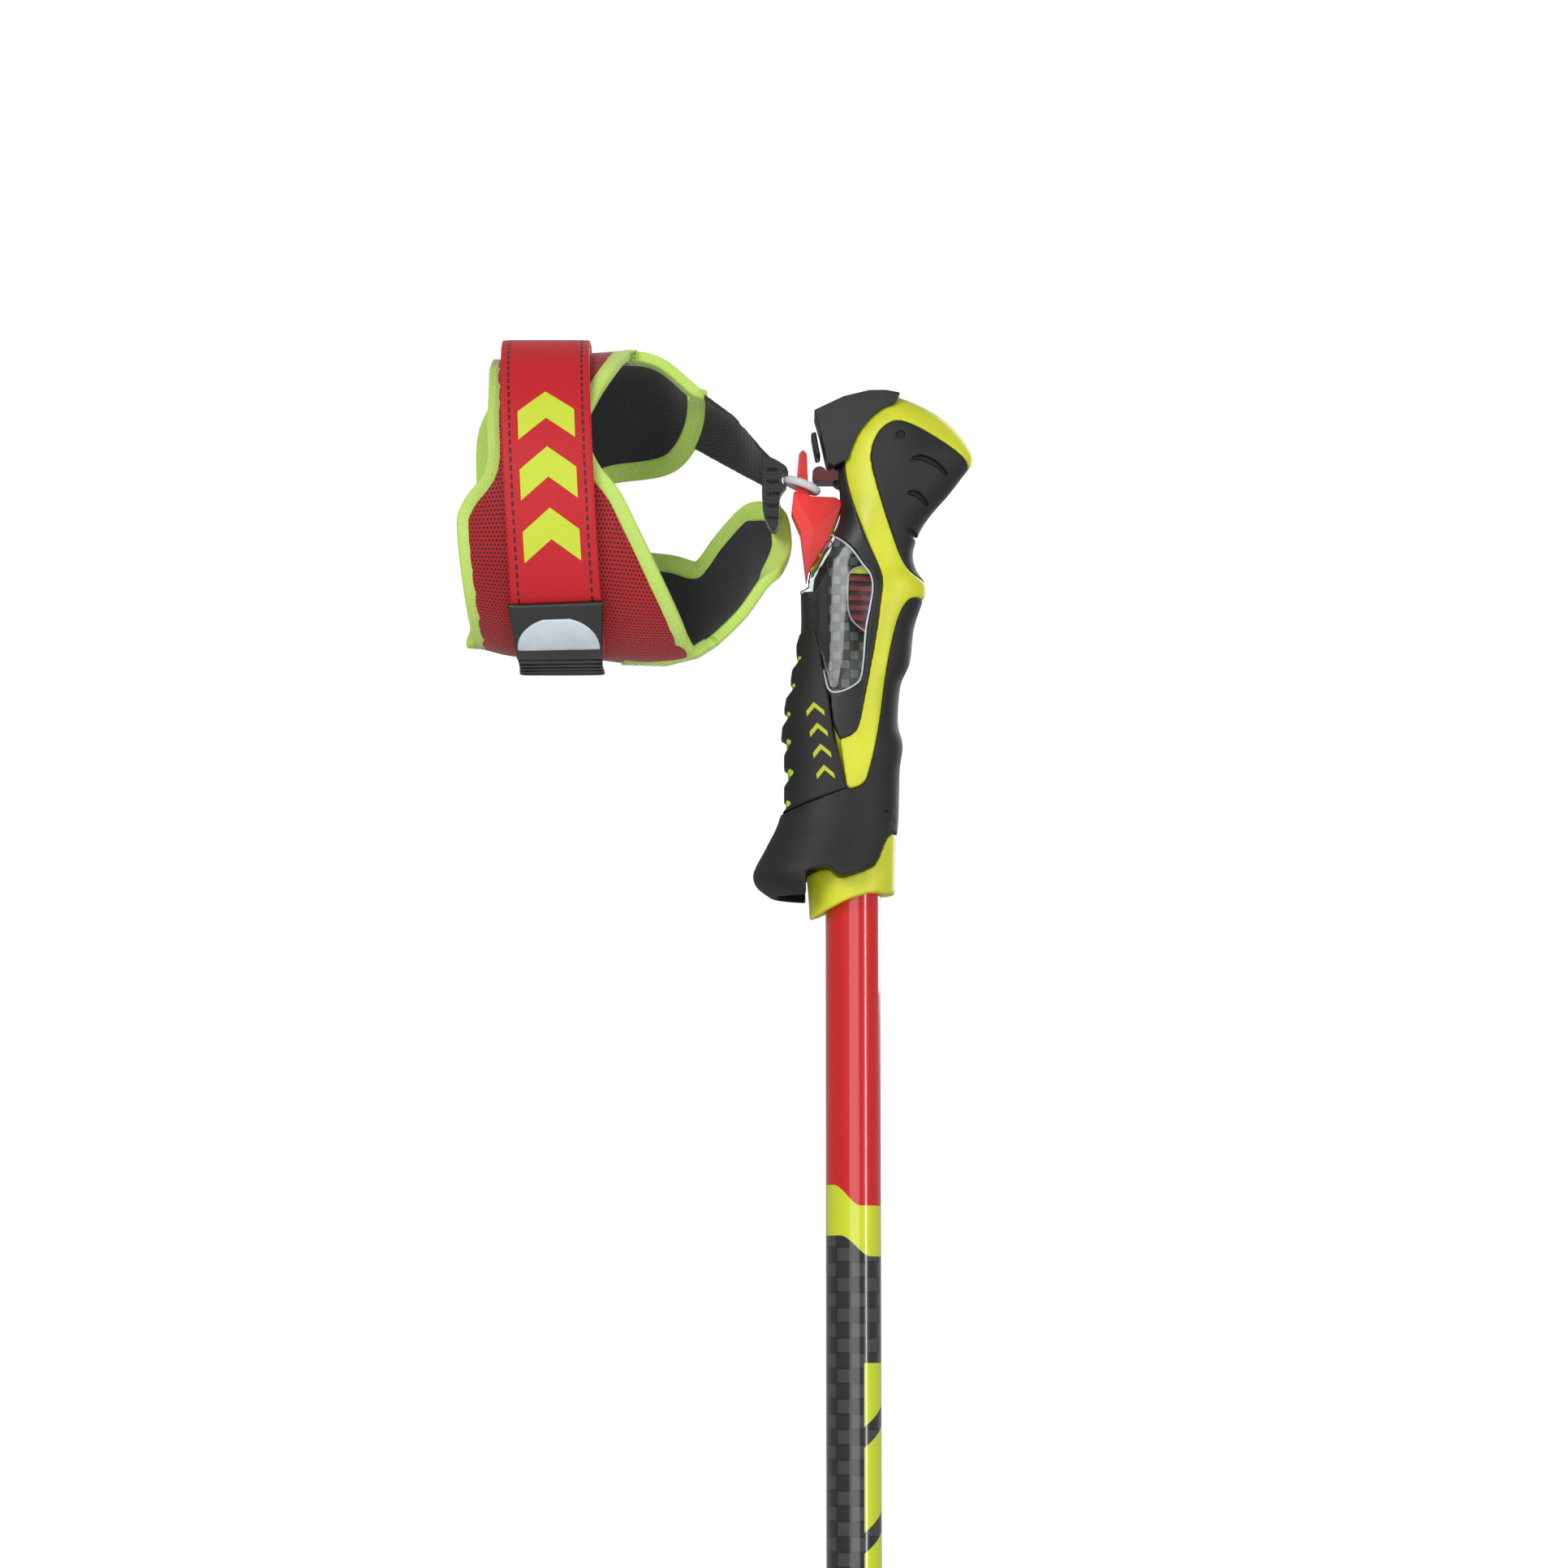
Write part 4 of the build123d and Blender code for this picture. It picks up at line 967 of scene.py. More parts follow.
def build_grip_rubber():
    """Black rubber of the finger side and the hand rest, in one moulding."""
    region = prism("tool", (
        [(26.0, 61.6)] + smooth_line(BAND_FRONT, 4)[::-1]
        + [(-23.5, 126.3), (-34.0, 134.0), (-34.0, 153.0), (-13.5, 153.0)]
        + smooth_line(COLLAR_EDGE, 4) + [(26.0, 131.3)]))
    inner = grip_form("tool_inner", GRIP_SECTIONS, PAD_DEPTH)
    rest = grip_form("tool_rest", REST_SECTIONS)
    hollow = grip_form("tool_hollow", HOLLOW_SECTIONS)
    ridges = engraved("ridge", [
        [(7.2, 124.2), (10.0, 125.0), (13.6, 124.0)],
        [(7.0, 127.0), (10.0, 128.2), (13.6, 127.6)]], 0.8, 0.4)
    body = grip_form("grip_rubber_skin", GRIP_SECTIONS)
    steps = [("UNION", rest)] + cuts(inner, hollow) + [("INTERSECT", region)] + cuts(*ridges)
    carve(body, steps, COARSE, 6)
    remove_tools(region, inner, rest, hollow, *ridges)
    finish_piece(body, paint("rubber"), "pole", ["grip_rubber"])


PALM_TEETH = [
    (-15.6, 72.2), (-16.6, 75.4), (-16.4, 78.3), (-15.0, 79.6), (-17.8, 82.6), (-18.3, 86.2),
    (-16.6, 87.8), (-19.6, 91.2), (-20.2, 94.8), (-18.0, 96.2), (-20.7, 99.6), (-21.1, 103.2),
    (-17.9, 104.3), (-20.2, 108.2), (-20.2, 111.8), (-17.2, 113.5), (-20.2, 117.6),
    (-20.2, 121.3), (-18.0, 122.7), (-21.4, 125.8), (-23.5, 126.3),
]
NOTCHES = [
    (-15.6, 79.6, 0.6), (-17.1, 87.8, 0.7), (-18.4, 96.2, 0.9), (-18.4, 104.3, 1.1),
    (-17.7, 113.5, 1.4), (-18.5, 122.7, 1.2),
]


def build_palm_pad():
    """Black rubber of the palm side with its toothed rear, and the lime inlays in the notches."""
    region = prism("tool", PALM_TEETH + smooth_line(PALM_EDGE, 4)[::-1])
    inner = grip_form("tool_inner", GRIP_SECTIONS, PAD_DEPTH)
    pad = grip_form("palm_pad_skin", PALM_SECTIONS)
    groove = engraved("groove", [[(-10.6, 74.0), (-7.0, 92.0), (-5.4, 104.0), (-2.6, 117.6)]], 0.7, 0.3)
    carve(pad, [("INTERSECT", region)] + cuts(inner, *groove), FINE, 3)
    remove_tools(region, inner, *groove)
    finish_piece(pad, paint("palm"), "pole", ["palm_pad"])

    dots = []
    for index, (x, drop, radius) in enumerate(NOTCHES):
        dots.append(rod("dot" + str(index), radius, x, drop, 9.0, 20))
    inlays = join_pieces("palm_inlay_rods", dots)
    skin = grip_form("tool_skin", PALM_SECTIONS, 0.15)
    carve(inlays, [("INTERSECT", skin)], 0.25, 2)
    remove_tools(skin)
    finish_piece(inlays, paint("inlay"), "pole", ["palm_inlays"])


def about_lever_pin(degrees):
    """Turn about the lever's pin, positive as the lever is pressed."""
    pin = at(*LEVER_PIN_AT)
    turn = Matrix.Rotation(math.radians(degrees), 4, Vector((0.0, -1.0, 0.0)))
    return Matrix.Translation(pin) @ turn @ Matrix.Translation(-pin)


def pressed_lever():
    """Room that the lever takes when it is pressed."""
    half = LEVER_HALF + LEVER_SIDE_ROOM
    plate = prism("tool_pressed", LEVER_OUTLINE, -half, half)
    grip = grip_form("tool_clear", GRIP_SECTIONS, -LEVER_OFF_GRIP)
    carve(plate, cuts(grip))
    remove_tools(grip)
    plate.data.transform(about_lever_pin(LEVER_TRAVEL))
    return plate


def build_side_frame():
    """Hard black frame round the trigger, the lever and the window."""
    region = prism("tool", (
        smooth_line(BAND_REAR[1:], 4) + PALM_EDGE[3:1:-1] + smooth_line(WINDOW_EDGE, 4)[-13::-1]
        + [(-16.0, 42.5), (-16.0, -3.0), (9.0, -3.0)]))
    inner = grip_form("tool_inner", GRIP_SECTIONS, PAD_DEPTH)
    trigger = trigger_room()
    lever = lever_room()
    pressed = pressed_lever()
    body = grip_form("side_frame_skin", GRIP_SECTIONS)
    carve(body, [("INTERSECT", region)] + cuts(inner, trigger, lever, pressed), FINE, 3)
    remove_tools(region, inner, trigger, lever, pressed)
    finish_piece(body, paint("frame"), "pole", ["side_frame"])


def build_grip_core():
    """Hard lime moulding: the core, the side bands and the collar round the shaft."""
    band_region = prism("tool_band", (
        smooth_line(BAND_REAR, 4) + smooth_line(BAND_FRONT, 4)
        + smooth_line(UPPER_PAD_EDGE, 4) + [(44.0, 20.0), (44.0, -4.0), (13.7, -4.0)]))
    collar_region = prism("tool_collar", (
        smooth_line(COLLAR_EDGE, 4) + [(18.0, 131.3), (18.0, 149.0)]
        + smooth_line(COLLAR_RIM, 4)[::-1] + [(-18.0, 143.5)]))
    band = grip_form("tool_band_form", GRIP_SECTIONS)
    collar = grip_form("tool_collar_form", GRIP_SECTIONS)
    carve(band, [("INTERSECT", band_region)])
    carve(collar, [("INTERSECT", collar_region)])
    window = prism("tool_window", WINDOW_EDGE + [(-24.0, 71.0), (-24.0, 42.5)], -30.0, 30.0)
    below = prism("tool_below", COLLAR_RIM + [(18.0, 149.0), (18.0, 170.0), (-18.0, 170.0), (-18.0, 158.4)])
    trigger = trigger_room()
    lever = lever_room()
    shaft = bmesh.new()
    bmesh.ops.create_cone(
        shaft, cap_ends=True, segments=64, radius1=SHAFT_RADIUS * MM, radius2=SHAFT_RADIUS * MM,
        depth=0.1, matrix=Matrix.Translation(at(0.0, SHAFT_TOP_DROP + 50.0)))
    shaft_tool = new_object("tool_shaft", shaft)
    bore = pin_bore()
    pressed = pressed_lever()
    body = grip_form("grip_core_skin", GRIP_SECTIONS[1:], PAD_DEPTH)
    tools = (window, below, trigger, lever, shaft_tool, bore, pressed)
    carve(body, [("UNION", band), ("UNION", collar)] + cuts(*tools), COARSE, 8)
    remove_tools(band_region, collar_region, band, collar, *tools)
    finish_piece(body, paint("lime"), "pole", ["grip_core"])


REAR_WALL = [(-19.0, 59.6), (-13.4, 59.6), (-12.0, 72.6), (-19.0, 72.6)]
BACK_PLATE = [
    (-13.0, 42.0), (-3.0, 43.5), (-6.9, 51.6), (-10.6, 60.0), (-22.0, 60.0), (-22.0, 46.0),
]
INSERT_EDGE = [
    (-0.7, 54.7), (3.1, 53.1), (5.3, 54.7), (6.1, 59.0), (5.6, 65.6), (4.4, 72.4),
    (2.6, 71.9), (-0.1, 69.4), (-1.4, 65.6), (-1.4, 59.0),
]


def build_window_inside():
    """The dark wall behind the tube, and on each side the red ribbed insert in its opening."""
    wall = prism("window_wall", WINDOW_EDGE + [(-16.0, 71.0), (-16.0, 50.0), (-9.0, 43.0)], -0.6, 0.6)
    skin = grip_form("tool_skin", GRIP_SECTIONS, 1.2)
    trigger = trigger_room()
    carve(wall, [("INTERSECT", skin)] + cuts(trigger), FINE, 1)
    finish_piece(wall, paint("frame"), "pole")
    remove_tools(trigger)

    plate = prism("window_plate", BACK_PLATE, 5.7, 6.3)
    carve(plate, [("INTERSECT", skin)], 0.3, 1)
    finish_piece(plate, paint("frame"), "pole")
    rear = prism("window_rear", REAR_WALL, -7.5, 7.5)
    outer = grip_form("tool_outer", GRIP_SECTIONS, 0.2)
    carve(rear, [("INTERSECT", outer)], 0.3, 2)
    finish_piece(rear, paint("frame"), "pole")
    remove_tools(skin, outer)

    opening = prism("tool_opening", smooth_line(INSERT_EDGE, 4, True))
    deep = grip_form("tool_deep", GRIP_SECTIONS, 3.4)
    floor = grip_form("insert_floor", GRIP_SECTIONS, 2.6)
    carve(floor, [("INTERSECT", opening)] + cuts(deep), 0.3, 1)
    finish_piece(floor, paint("frame"), "pole")
    middle = grip_form("tool_middle", GRIP_SECTIONS, 2.6)
    first_rib, rib_step, rib_height, slope = 55.6, 2.9, 1.8, 0.6
    bars = []
    for index in range(6):
        drop = first_rib + rib_step * index
        bars.append(prism("bar", [
            (-4.0, drop), (9.0, drop + slope), (9.0, drop + slope + rib_height),
            (-4.0, drop + rib_height)]))
    ribs = grip_form("insert_ribs", GRIP_SECTIONS, 1.7)
    slats = join_pieces("tool_slats", bars)
    carve(ribs, [("INTERSECT", slats), ("INTERSECT", opening)] + cuts(middle), 0.25, 1)
    finish_piece(ribs, paint("insert"), "pole", ["damper"])
    top = prism("tool_top", [(-4.0, 50.0), (9.0, 50.0), (9.0, 55.6), (-4.0, 55.0)])
    lintel = grip_form("insert_lintel", GRIP_SECTIONS, 1.5)
    carve(lintel, [("INTERSECT", top), ("INTERSECT", opening)] + cuts(middle), 0.25, 1)
    finish_piece(lintel, paint("lime"), "pole")
    remove_tools(opening, deep, middle, slats, top)


def build_window():
    """Clear cover on both sides, what lies behind it, and white cords along its edges that stand for
    painted highlights.
    """
    region = prism("tool", smooth_line(WINDOW_EDGE, 4) + [(-24.0, 71.0), (-24.0, 42.5)])
    inner = grip_form("tool_inner", GRIP_SECTIONS, 0.9)
    trigger = trigger_room()
    cover = grip_form("window_cover", GRIP_SECTIONS)
    rear = prism("tool_rear", REAR_WALL, -8.5, 8.5)
    carve(cover, [("INTERSECT", region)] + cuts(inner, trigger, rear), 0.3, 2)
    remove_tools(region, inner, trigger, rear)
    finish_piece(cover, paint("window"), "pole", ["window"])
    build_window_inside()
    inset_line = smooth_line(INSERT_EDGE, 4, True)
    cover_line = [(x - 0.5, drop) for x, drop in smooth_line(WINDOW_EDGE[:12], 4)]
    # White cords round the insert's opening and along the cover's edge: painted highlights of the clear
    # cover's edges.
    highlight_rims = []
    for side in (-1.0, 1.0):
        for line, under, radius, closed in ((inset_line, 1.3, 0.22, True), (cover_line, 0.1, 0.28, False)):
            points = [at(x, drop, side * (skin_y(GRIP_SECTIONS, x, drop) - under)) for x, drop in line]
            highlight_rims.append(cord_along("rim", points, radius, closed))
    rim = join_pieces("window_highlight_rims", highlight_rims)
    finish_piece(rim, paint("badge"), "pole")


# ---------------------------------------------------------------- release and trigger

def softened(piece, width):
    """Rounded edges, applied."""
    modifier = piece.modifiers.new("edge", "BEVEL")
    modifier.width = width * MM
    modifier.segments = 2
    modifier.limit_method = "ANGLE"
    apply_modifiers(piece)


def build_lever():
    """Release lever on the head: the outer plate, the arm to its pin and the tab behind it."""
    lever = prism("release_lever_skin", LEVER_OUTLINE, -LEVER_HALF, LEVER_HALF)
    arm = prism("tool_arm", LEVER_ARM, -3.0, 3.0)
    grip = grip_form("tool_grip", GRIP_SECTIONS, -LEVER_OFF_GRIP)
    # Cut round the catch at three places of the travel. The two still touch when it is pressed.
    catches = []
    for degrees in (0.0, -LEVER_TRAVEL / 2, -LEVER_TRAVEL):
        catch = rod("tool_catch", CATCH_CUT, *CATCH_AT, 12.0)
        catch.data.transform(about_lever_pin(degrees))
        catches.append(catch)
    carve(lever, cuts(grip) + [("UNION", arm)] + cuts(*catches), 0.35, 4)
    remove_tools(arm, grip, *catches)
    finish_piece(lever, paint("lever"), "lever", ["release_lever"])
    tab_line = [(-11.4, 12.2), (-10.8, 15.6), (-10.2, 18.6)]
    tab = side_strip("lever_tab", tab_line, (-1.0, 0.0, 0.3), 7.0, 0.8)
    finish_piece(tab, paint("lever"), "lever")


def faceted(name, outline, half_width, raise_by):
    """Prism whose two sides rise to a low point, so that they show flat facets."""
    piece = prism(name, outline, -half_width, half_width)
    bm = bmesh.new()
    bm.from_mesh(piece.data)
    bmesh.ops.dissolve_limit(bm, angle_limit=0.01, verts=bm.verts, edges=bm.edges)
    sides = [face for face in bm.faces if abs(face.normal.y) > 0.9]
    bmesh.ops.poke(bm, faces=sides, offset=raise_by * MM)
    bmesh.ops.recalc_face_normals(bm, faces=bm.faces)
    bm.to_mesh(piece.data)
    bm.free()
    return piece


def build_trigger():
    """Faceted red trigger with its prong, and the lime edge towards the grip."""
    body = faceted("trigger_body", TRIGGER_OUTLINE, 4.4, 0.6)
    prong = prism("prong", PRONG_OUTLINE, -1.9, 1.9)
    softened(prong, 0.5)
    softened(body, 0.35)
    trigger = join_pieces("trigger_skin", [body, prong])
    finish_piece(trigger, paint("trigger"), "trigger", ["trigger"])
    for polygon in trigger.data.polygons:
        polygon.use_smooth = False
    edge_line = [(-3.3, 33.6), (-6.2, 41.6), (-9.6, 49.8), (-13.2, 55.4)]
    edge = side_strip("trigger_edge", edge_line, (1.0, 0.0, -0.4), 4.2, 0.3)
    finish_piece(edge, paint("lime"), "trigger")


LOOP_AT = (-14.9, 26.9)
LOOP_RADIUS = 4.6
LOOP_TILT = 20.0


def loop_point(turn, out=0.0, up=0.0):
    """Point by the cord loop's centre line, moved outward and up in its own plane."""
    tilt = math.radians(LOOP_TILT)
    reach = LOOP_RADIUS + out
    x, y = reach * math.cos(turn), reach * math.sin(turn)
    return at(LOOP_AT[0] + x * math.cos(tilt) + up * math.sin(tilt),
              LOOP_AT[1] + x * math.sin(tilt) - up * math.cos(tilt), y)


def build_loop():
    """Braided cord: strands wound both ways round a core."""
    strands, steps = [], 96
    for way in (-1.0, 1.0):
        for strand in range(5):
            points = []
            for index in range(steps):
                turn = 2 * math.pi * index / steps
                lay = way * 8 * turn + 2 * math.pi * strand / 5
                lift = 0.84 + 0.07 * math.sin(way * 40 * turn)
                points.append(loop_point(turn, lift * math.cos(lay), lift * math.sin(lay)))
            strands.append(cord_along("strand", points, 0.42, True, 6))
    core = cord_along("core", [loop_point(2 * math.pi * index / 64) for index in range(64)], 0.85, True)
    loop = join_pieces("strap_loop_braid", strands + [core])
    finish_piece(loop, paint("cord"), "loop", ["strap_loop"])


KNOT = [
    (-26.0, 19.5), (-20.4, 21.0), (-18.9, 23.4), (-18.9, 26.6), (-21.4, 30.5), (-22.0, 39.5),
    (-24.0, 40.5), (-26.5, 34.0),
]
WEBBING = [
    (-50.0, 1.0), (-44.0, -1.0), (-35.0, 5.7), (-26.9, 15.3), (-20.5, 22.0), (-21.5, 30.0),
    (-26.0, 25.5), (-34.0, 20.0), (-46.0, 12.5), (-52.0, 9.5),
]


def build_knot():
    """Folded end of the webbing on the cord, with its bar tacks."""
    tilt = math.radians(LOOP_TILT)
    hinge = (LOOP_AT[0] - LOOP_RADIUS * math.cos(tilt), LOOP_AT[1] - LOOP_RADIUS * math.sin(tilt))
    knot = prism("loop_knot_block", smooth_line(KNOT, 3, True), -3.6, 3.6)
    room = rod("tool_room", 1.9, hinge[0], hinge[1], 8.0)
    carve(knot, [("DIFFERENCE", room)], 0.3, 3)
    remove_tools(room)
    face_uv(knot, side_place)
    finish_piece(knot, paint("webbing"), "strap", ["loop_knot"])
    # Each tack is a zigzag thread across the knot's face, a little longer than the one above it.
    rows, turns, first_drop, row_step, left_x, length = 5, 22, 22.2, 3.6, -25.3, 3.2
    tacks = []
    for row in range(rows):
        points = []
        for index in range(turns):
            share = index / (turns - 1)
            x = left_x + length * share + 0.3 * row * share
            points.append(at(x, first_drop + row_step * row + index % 2, -3.7))
        tacks.append(cord_along("tack", points, 0.16, False, 5))
    finish_piece(join_pieces("bar_tacks", tacks), paint("webbing"), "strap")


def build_webbing():
    """Flat webbing from the knot to the panel, on the palm side."""
    outer = harness_form("webbing_strip", 0.3)
    inner = harness_form("tool_inner", -1.4)
    region = prism("tool", WEBBING, 0.0, 60.0)
    carve(outer, [("INTERSECT", region), ("DIFFERENCE", inner)], 0.5, 3)
    remove_tools(inner, region)
    face_uv(outer, harness_place)
    finish_piece(outer, paint("webbing"), "strap", ["webbing"])


# ---------------------------------------------------------------- harness

PALM_PANEL = [
    (-110.0, 9.0), (-105.0, -2.0), (-98.0, -20.0), (-62.0, -20.0), (-52.9, -10.3),
    (-47.1, -4.3), (-46.0, 0.5), (-47.6, 6.9), (-51.7, 12.9), (-57.7, 16.0), (-72.0, 17.7),
    (-78.0, 21.0), (-80.0, 29.0), (-78.0, 37.0), (-72.0, 42.5), (-64.8, 44.4), (-54.1, 46.1),
    (-47.1, 48.5), (-43.6, 46.8), (-38.8, 40.4), (-31.6, 33.2), (-26.9, 32.5), (-22.5, 34.5),
    (-21.0, 40.0), (-21.5, 47.3), (-26.9, 58.0), (-34.0, 67.6), (-41.2, 76.0), (-46.0, 90.0),
    (-105.0, 90.0), (-111.0, 70.0), (-109.0, 50.0), (-110.0, 30.0),
]
BACK_PANEL = [
    (-104.5, 8.0), (-101.0, -20.0), (-66.0, -20.0), (-68.9, -10.0), (-76.3, 4.8),
    (-80.0, 16.0), (-76.0, 27.2), (-69.6, 35.6), (-64.8, 44.9), (-58.9, 56.8), (-50.5, 74.7),
    (-46.0, 90.0), (-104.0, 90.0), (-109.5, 73.0), (-113.0, 46.0), (-111.5, 38.0), (-104.5, 27.5),
]


def panel_layer(name, outline, low_y, high_y, outer_grow, inner_grow, finish, slot, nodes):
    """One layer of a panel, cut from the hand tube by a side outline."""
    skin = harness_form(name, outer_grow)
    inner = harness_form("tool_inner", inner_grow)
    region = prism("tool", smooth_line(outline, 3, True), low_y, high_y)
    carve(skin, [("INTERSECT", region), ("DIFFERENCE", inner)], 0.7, 3)
    remove_tools(inner, region)
    face_uv(skin, harness_place)
    finish_piece(skin, paint(finish), "strap", nodes)
    return skin


def edge_runs(outline):
    """Stretches of a panel's edge that lie on the hand tube, and not past its top or bottom."""
    line = smooth_line(outline, 5, True)
    runs, run = [], []
    for x, drop in line + line[:1]:
        middle, high, _ = harness_middle(x)
        # Over the top of the lobes the edge follows the ridge between the two sides.
        reach = 1.4 if x > -70.0 else 1.05
        if abs(drop - middle) < high * reach:
            run.append((x, drop))
        elif run:
            runs.append(run)
            run = []
    if run:
        if runs:
            runs[0] = run + runs[0]
        else:
            runs.append(run)
    return [run for run in runs if len(run) > 4]


def build_binding(name, outline, side, half_width, node):
    """Tape folded over a panel's edge, with a row of stitches along it."""
    tapes, stitches = [], []
    sizes = bpy.context.scene.pole_sizes
    step_length = sizes.stitch_step
    for run in edge_runs(outline):
        spots = [harness_spot(x, drop, side, -1.2) for x, drop in run]
        points = [spot[0] for spot in spots]
        ups = [spot[1] for spot in spots]
        tapes.append(band_along("tape", points, ups, half_width, 1.75))
        travelled, due = 0.0, 0.0
        for first, second, up in zip(points, points[1:], ups):
            step = (second - first).length
            while due <= travelled + step and step > 0.0:
                place = first.lerp(second, (due - travelled) / step)
                for face in (1.75, -1.75):
                    stitches.append((place + up * face * MM, (second - first).normalized()))
                due += step_length
            travelled += step
    tape = join_pieces(name + "_tape", tapes)
    finish_piece(tape, paint("tape"), "strap", [node])
    thread = beads(name + "_stitches", stitches, 0.6, sizes.stitch_size / 2 / MM)
    finish_piece(thread, paint("thread"), "strap")


def build_panels():
    """Lined palm panel, and the mesh panel on the back of the hand with its own lining."""
    for args in (
            ("palm_panel_lining", PALM_PANEL, 0.0, 60.0, 0.0, -2.5, "lining", "lining", ["palm_panel"]),
            ("back_panel_mesh", BACK_PANEL, -60.0, 0.0, 0.1, -1.2, "mesh", "red_mesh", ["back_panel"]),
            ("back_panel_lining", BACK_PANEL, -60.0, 0.0, -1.2, -2.5, "lining", "lining", [])):
        panel_layer(*args)


def build_bindings():
    """Lime tape round both panels."""
    build_binding("palm_binding", PALM_PANEL, 1.0, 3.0, "palm_binding")
    build_binding("back_binding", BACK_PANEL, -1.0, 2.2, "back_binding")


# ---------------------------------------------------------------- belt

BELT_MIDDLE = -89.5
BELT_DROP = 33.0
BELT_HIGH = 45.5
BELT_DEEP = 32.0


def belt_path(grow, start, end, count):
    """Points and normals round the hand, from the near side's lower end over the top."""
    points, ups = [], []
    for index in range(count):
        turn = math.radians(start + (end - start) * index / (count - 1))
        cosine, sine = math.cos(turn), math.sin(turn)
        x = BELT_MIDDLE + 1.4 - 2.6 * sine
        points.append(at(x, BELT_DROP - (BELT_HIGH + grow) * sine, -(BELT_DEEP + grow) * cosine))
        ups.append(Vector((0.0, -cosine * BELT_HIGH, sine * BELT_DEEP)).normalized())
    return points, ups


def belt_piece(name, grow, start, end, half_width, half_thick, finish, body, nodes, count=60):
    """Strip of the belt between two angles round the hand."""
    points, ups = belt_path(grow, start, end, count)
    piece = band_along(name, points, ups, half_width, half_thick, power=0.3, corners=24)
    finish_piece(piece, paint(finish), body, nodes)
    return piece


def build_belt():
    """Fixed inner layer, printed outer layer that opens, and the hook patch between them."""
    inner = belt_piece("belt_inner_layer", 1.2, -74.0, 120.0, 13.0, 0.7, "belt", "strap",
                       ["belt_inner"])
    outer = belt_piece("belt_outer_layer", 3.35, -74.0, 116.0, 13.0, 0.7, "belt_print", "belt",
                       ["belt_outer"])
    belt_piece("hook_strip", 2.1, -34.0, 14.0, 11.0, 0.2, "hook", "strap",
               ["hook_patch"], 24)


def build_tab():
    """Moulded end tab of the belt, with its ridges and a plain badge."""
    points, ups = belt_path(4.95, -86.0, -42.0, 40)
    widths = [12.2 + 1.6 * min(abs(index - 8) / 31, 1.0) for index in range(40)]
    tab = band_along("belt_tab_body", points, ups, widths, 0.9, power=0.3, corners=24)
    finish_piece(tab, paint("tab"), "belt", ["belt_tab"])
    ridges = []
    for index in range(5):
        start = -84.0 + 3.2 * index
        spots, normals = belt_path(5.9, start, start + 0.9, 3)
        ridges.append(band_along("ridge", spots, normals, 12.2, 0.35, power=0.5, corners=12))
    finish_piece(join_pieces("tab_ridges", ridges), paint("tab"), "belt")
    count = 22
    spots, normals = belt_path(5.75, -63.0, -48.0, count)
    widths = [12.0 * math.sqrt(max(1.0 - (index / count) ** 2.4, 0.02)) for index in range(count)]
    badge = band_along("tab_badge", spots, normals, widths, 0.35, power=0.35, corners=24)
    finish_piece(badge, paint("badge"), "belt")


def build_ring_tab():
    """Short webbing that holds the ring."""
    points, ups = belt_path(2.4, 138.0, 122.0, 12)
    tab = band_along("ring_tab_web", points, ups, 12.0, 0.8, power=0.3, corners=24)
    finish_piece(tab, paint("webbing"), "strap", ["ring_tab"])


# ---------------------------------------------------------------- CAD nodes that stay

KEPT_NODES = {
    "shaft_tube": "shaft", "tip_sleeve": "tip", "carbide_tip": "carbide", "basket": "basket",
    "core_tube": "tube", "catch": "catch", "lever_pin": "pins",
    "lever_spring": "springs", "trigger_pin": "pins", "trigger_spring": "springs", "ring": "ring",
}
ROUNDED_NODES = ("ring", "basket", "catch")


def build_kept_nodes():
    """Finishes for the CAD nodes whose shape is right, with rounded edges on the moulded ones."""
    for name, finish in KEPT_NODES.items():
        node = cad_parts[name]
        node.data.materials.clear()
        node.data.materials.append(paint(finish))
        if name in ROUNDED_NODES:
            modifier = node.modifiers.new("edge", "BEVEL")
            modifier.width = 0.3 * MM
            modifier.segments = 2
            modifier.limit_method = "ANGLE"


# ---------------------------------------------------------------- stage

LIGHTS_AIM = (-0.02, 0.0, 1.08)
BACKDROP_SEEN = 1.02
BACKDROP_LIGHT = 0.32
CAMERA_LOOK = (-0.0202, 0.0, 1.0839)
CAMERA_DISTANCE = 1.282
CAMERA_RISE = -7.0


def area_light(name, place, width, height, power, gloss=1.0):
    """Rectangular lamp aimed at the grip, with its share of the gloss."""
    data = bpy.data.lights.new(name, "AREA")
    data.shape = "RECTANGLE"
    data.size, data.size_y, data.energy = width, height, power
    data.specular_factor = gloss
    lamp = bpy.data.objects.new(name, data)
    bpy.context.scene.collection.objects.link(lamp)
    lamp.location = place
    lamp.rotation_euler = (Vector(LIGHTS_AIM) - Vector(place)).to_track_quat("-Z", "Y").to_euler()


def build_floor():
    """Matt studio floor, which is not part of the object."""
    bm = bmesh.new()
    bmesh.ops.create_grid(bm, x_segments=1, y_segments=1, size=6.0)
    floor = new_object("floor", bm)
    material, t, shader = new_material("floor", Roughness=0.9)
    cloudy = t.noise(t.object_place(), 2.0, 2.0)
    t.link(t.mix(cloudy, rgb(238, 238, 238), rgb(244, 244, 244)), shader.inputs["Base Color"])
    floor.data.materials.append(material)


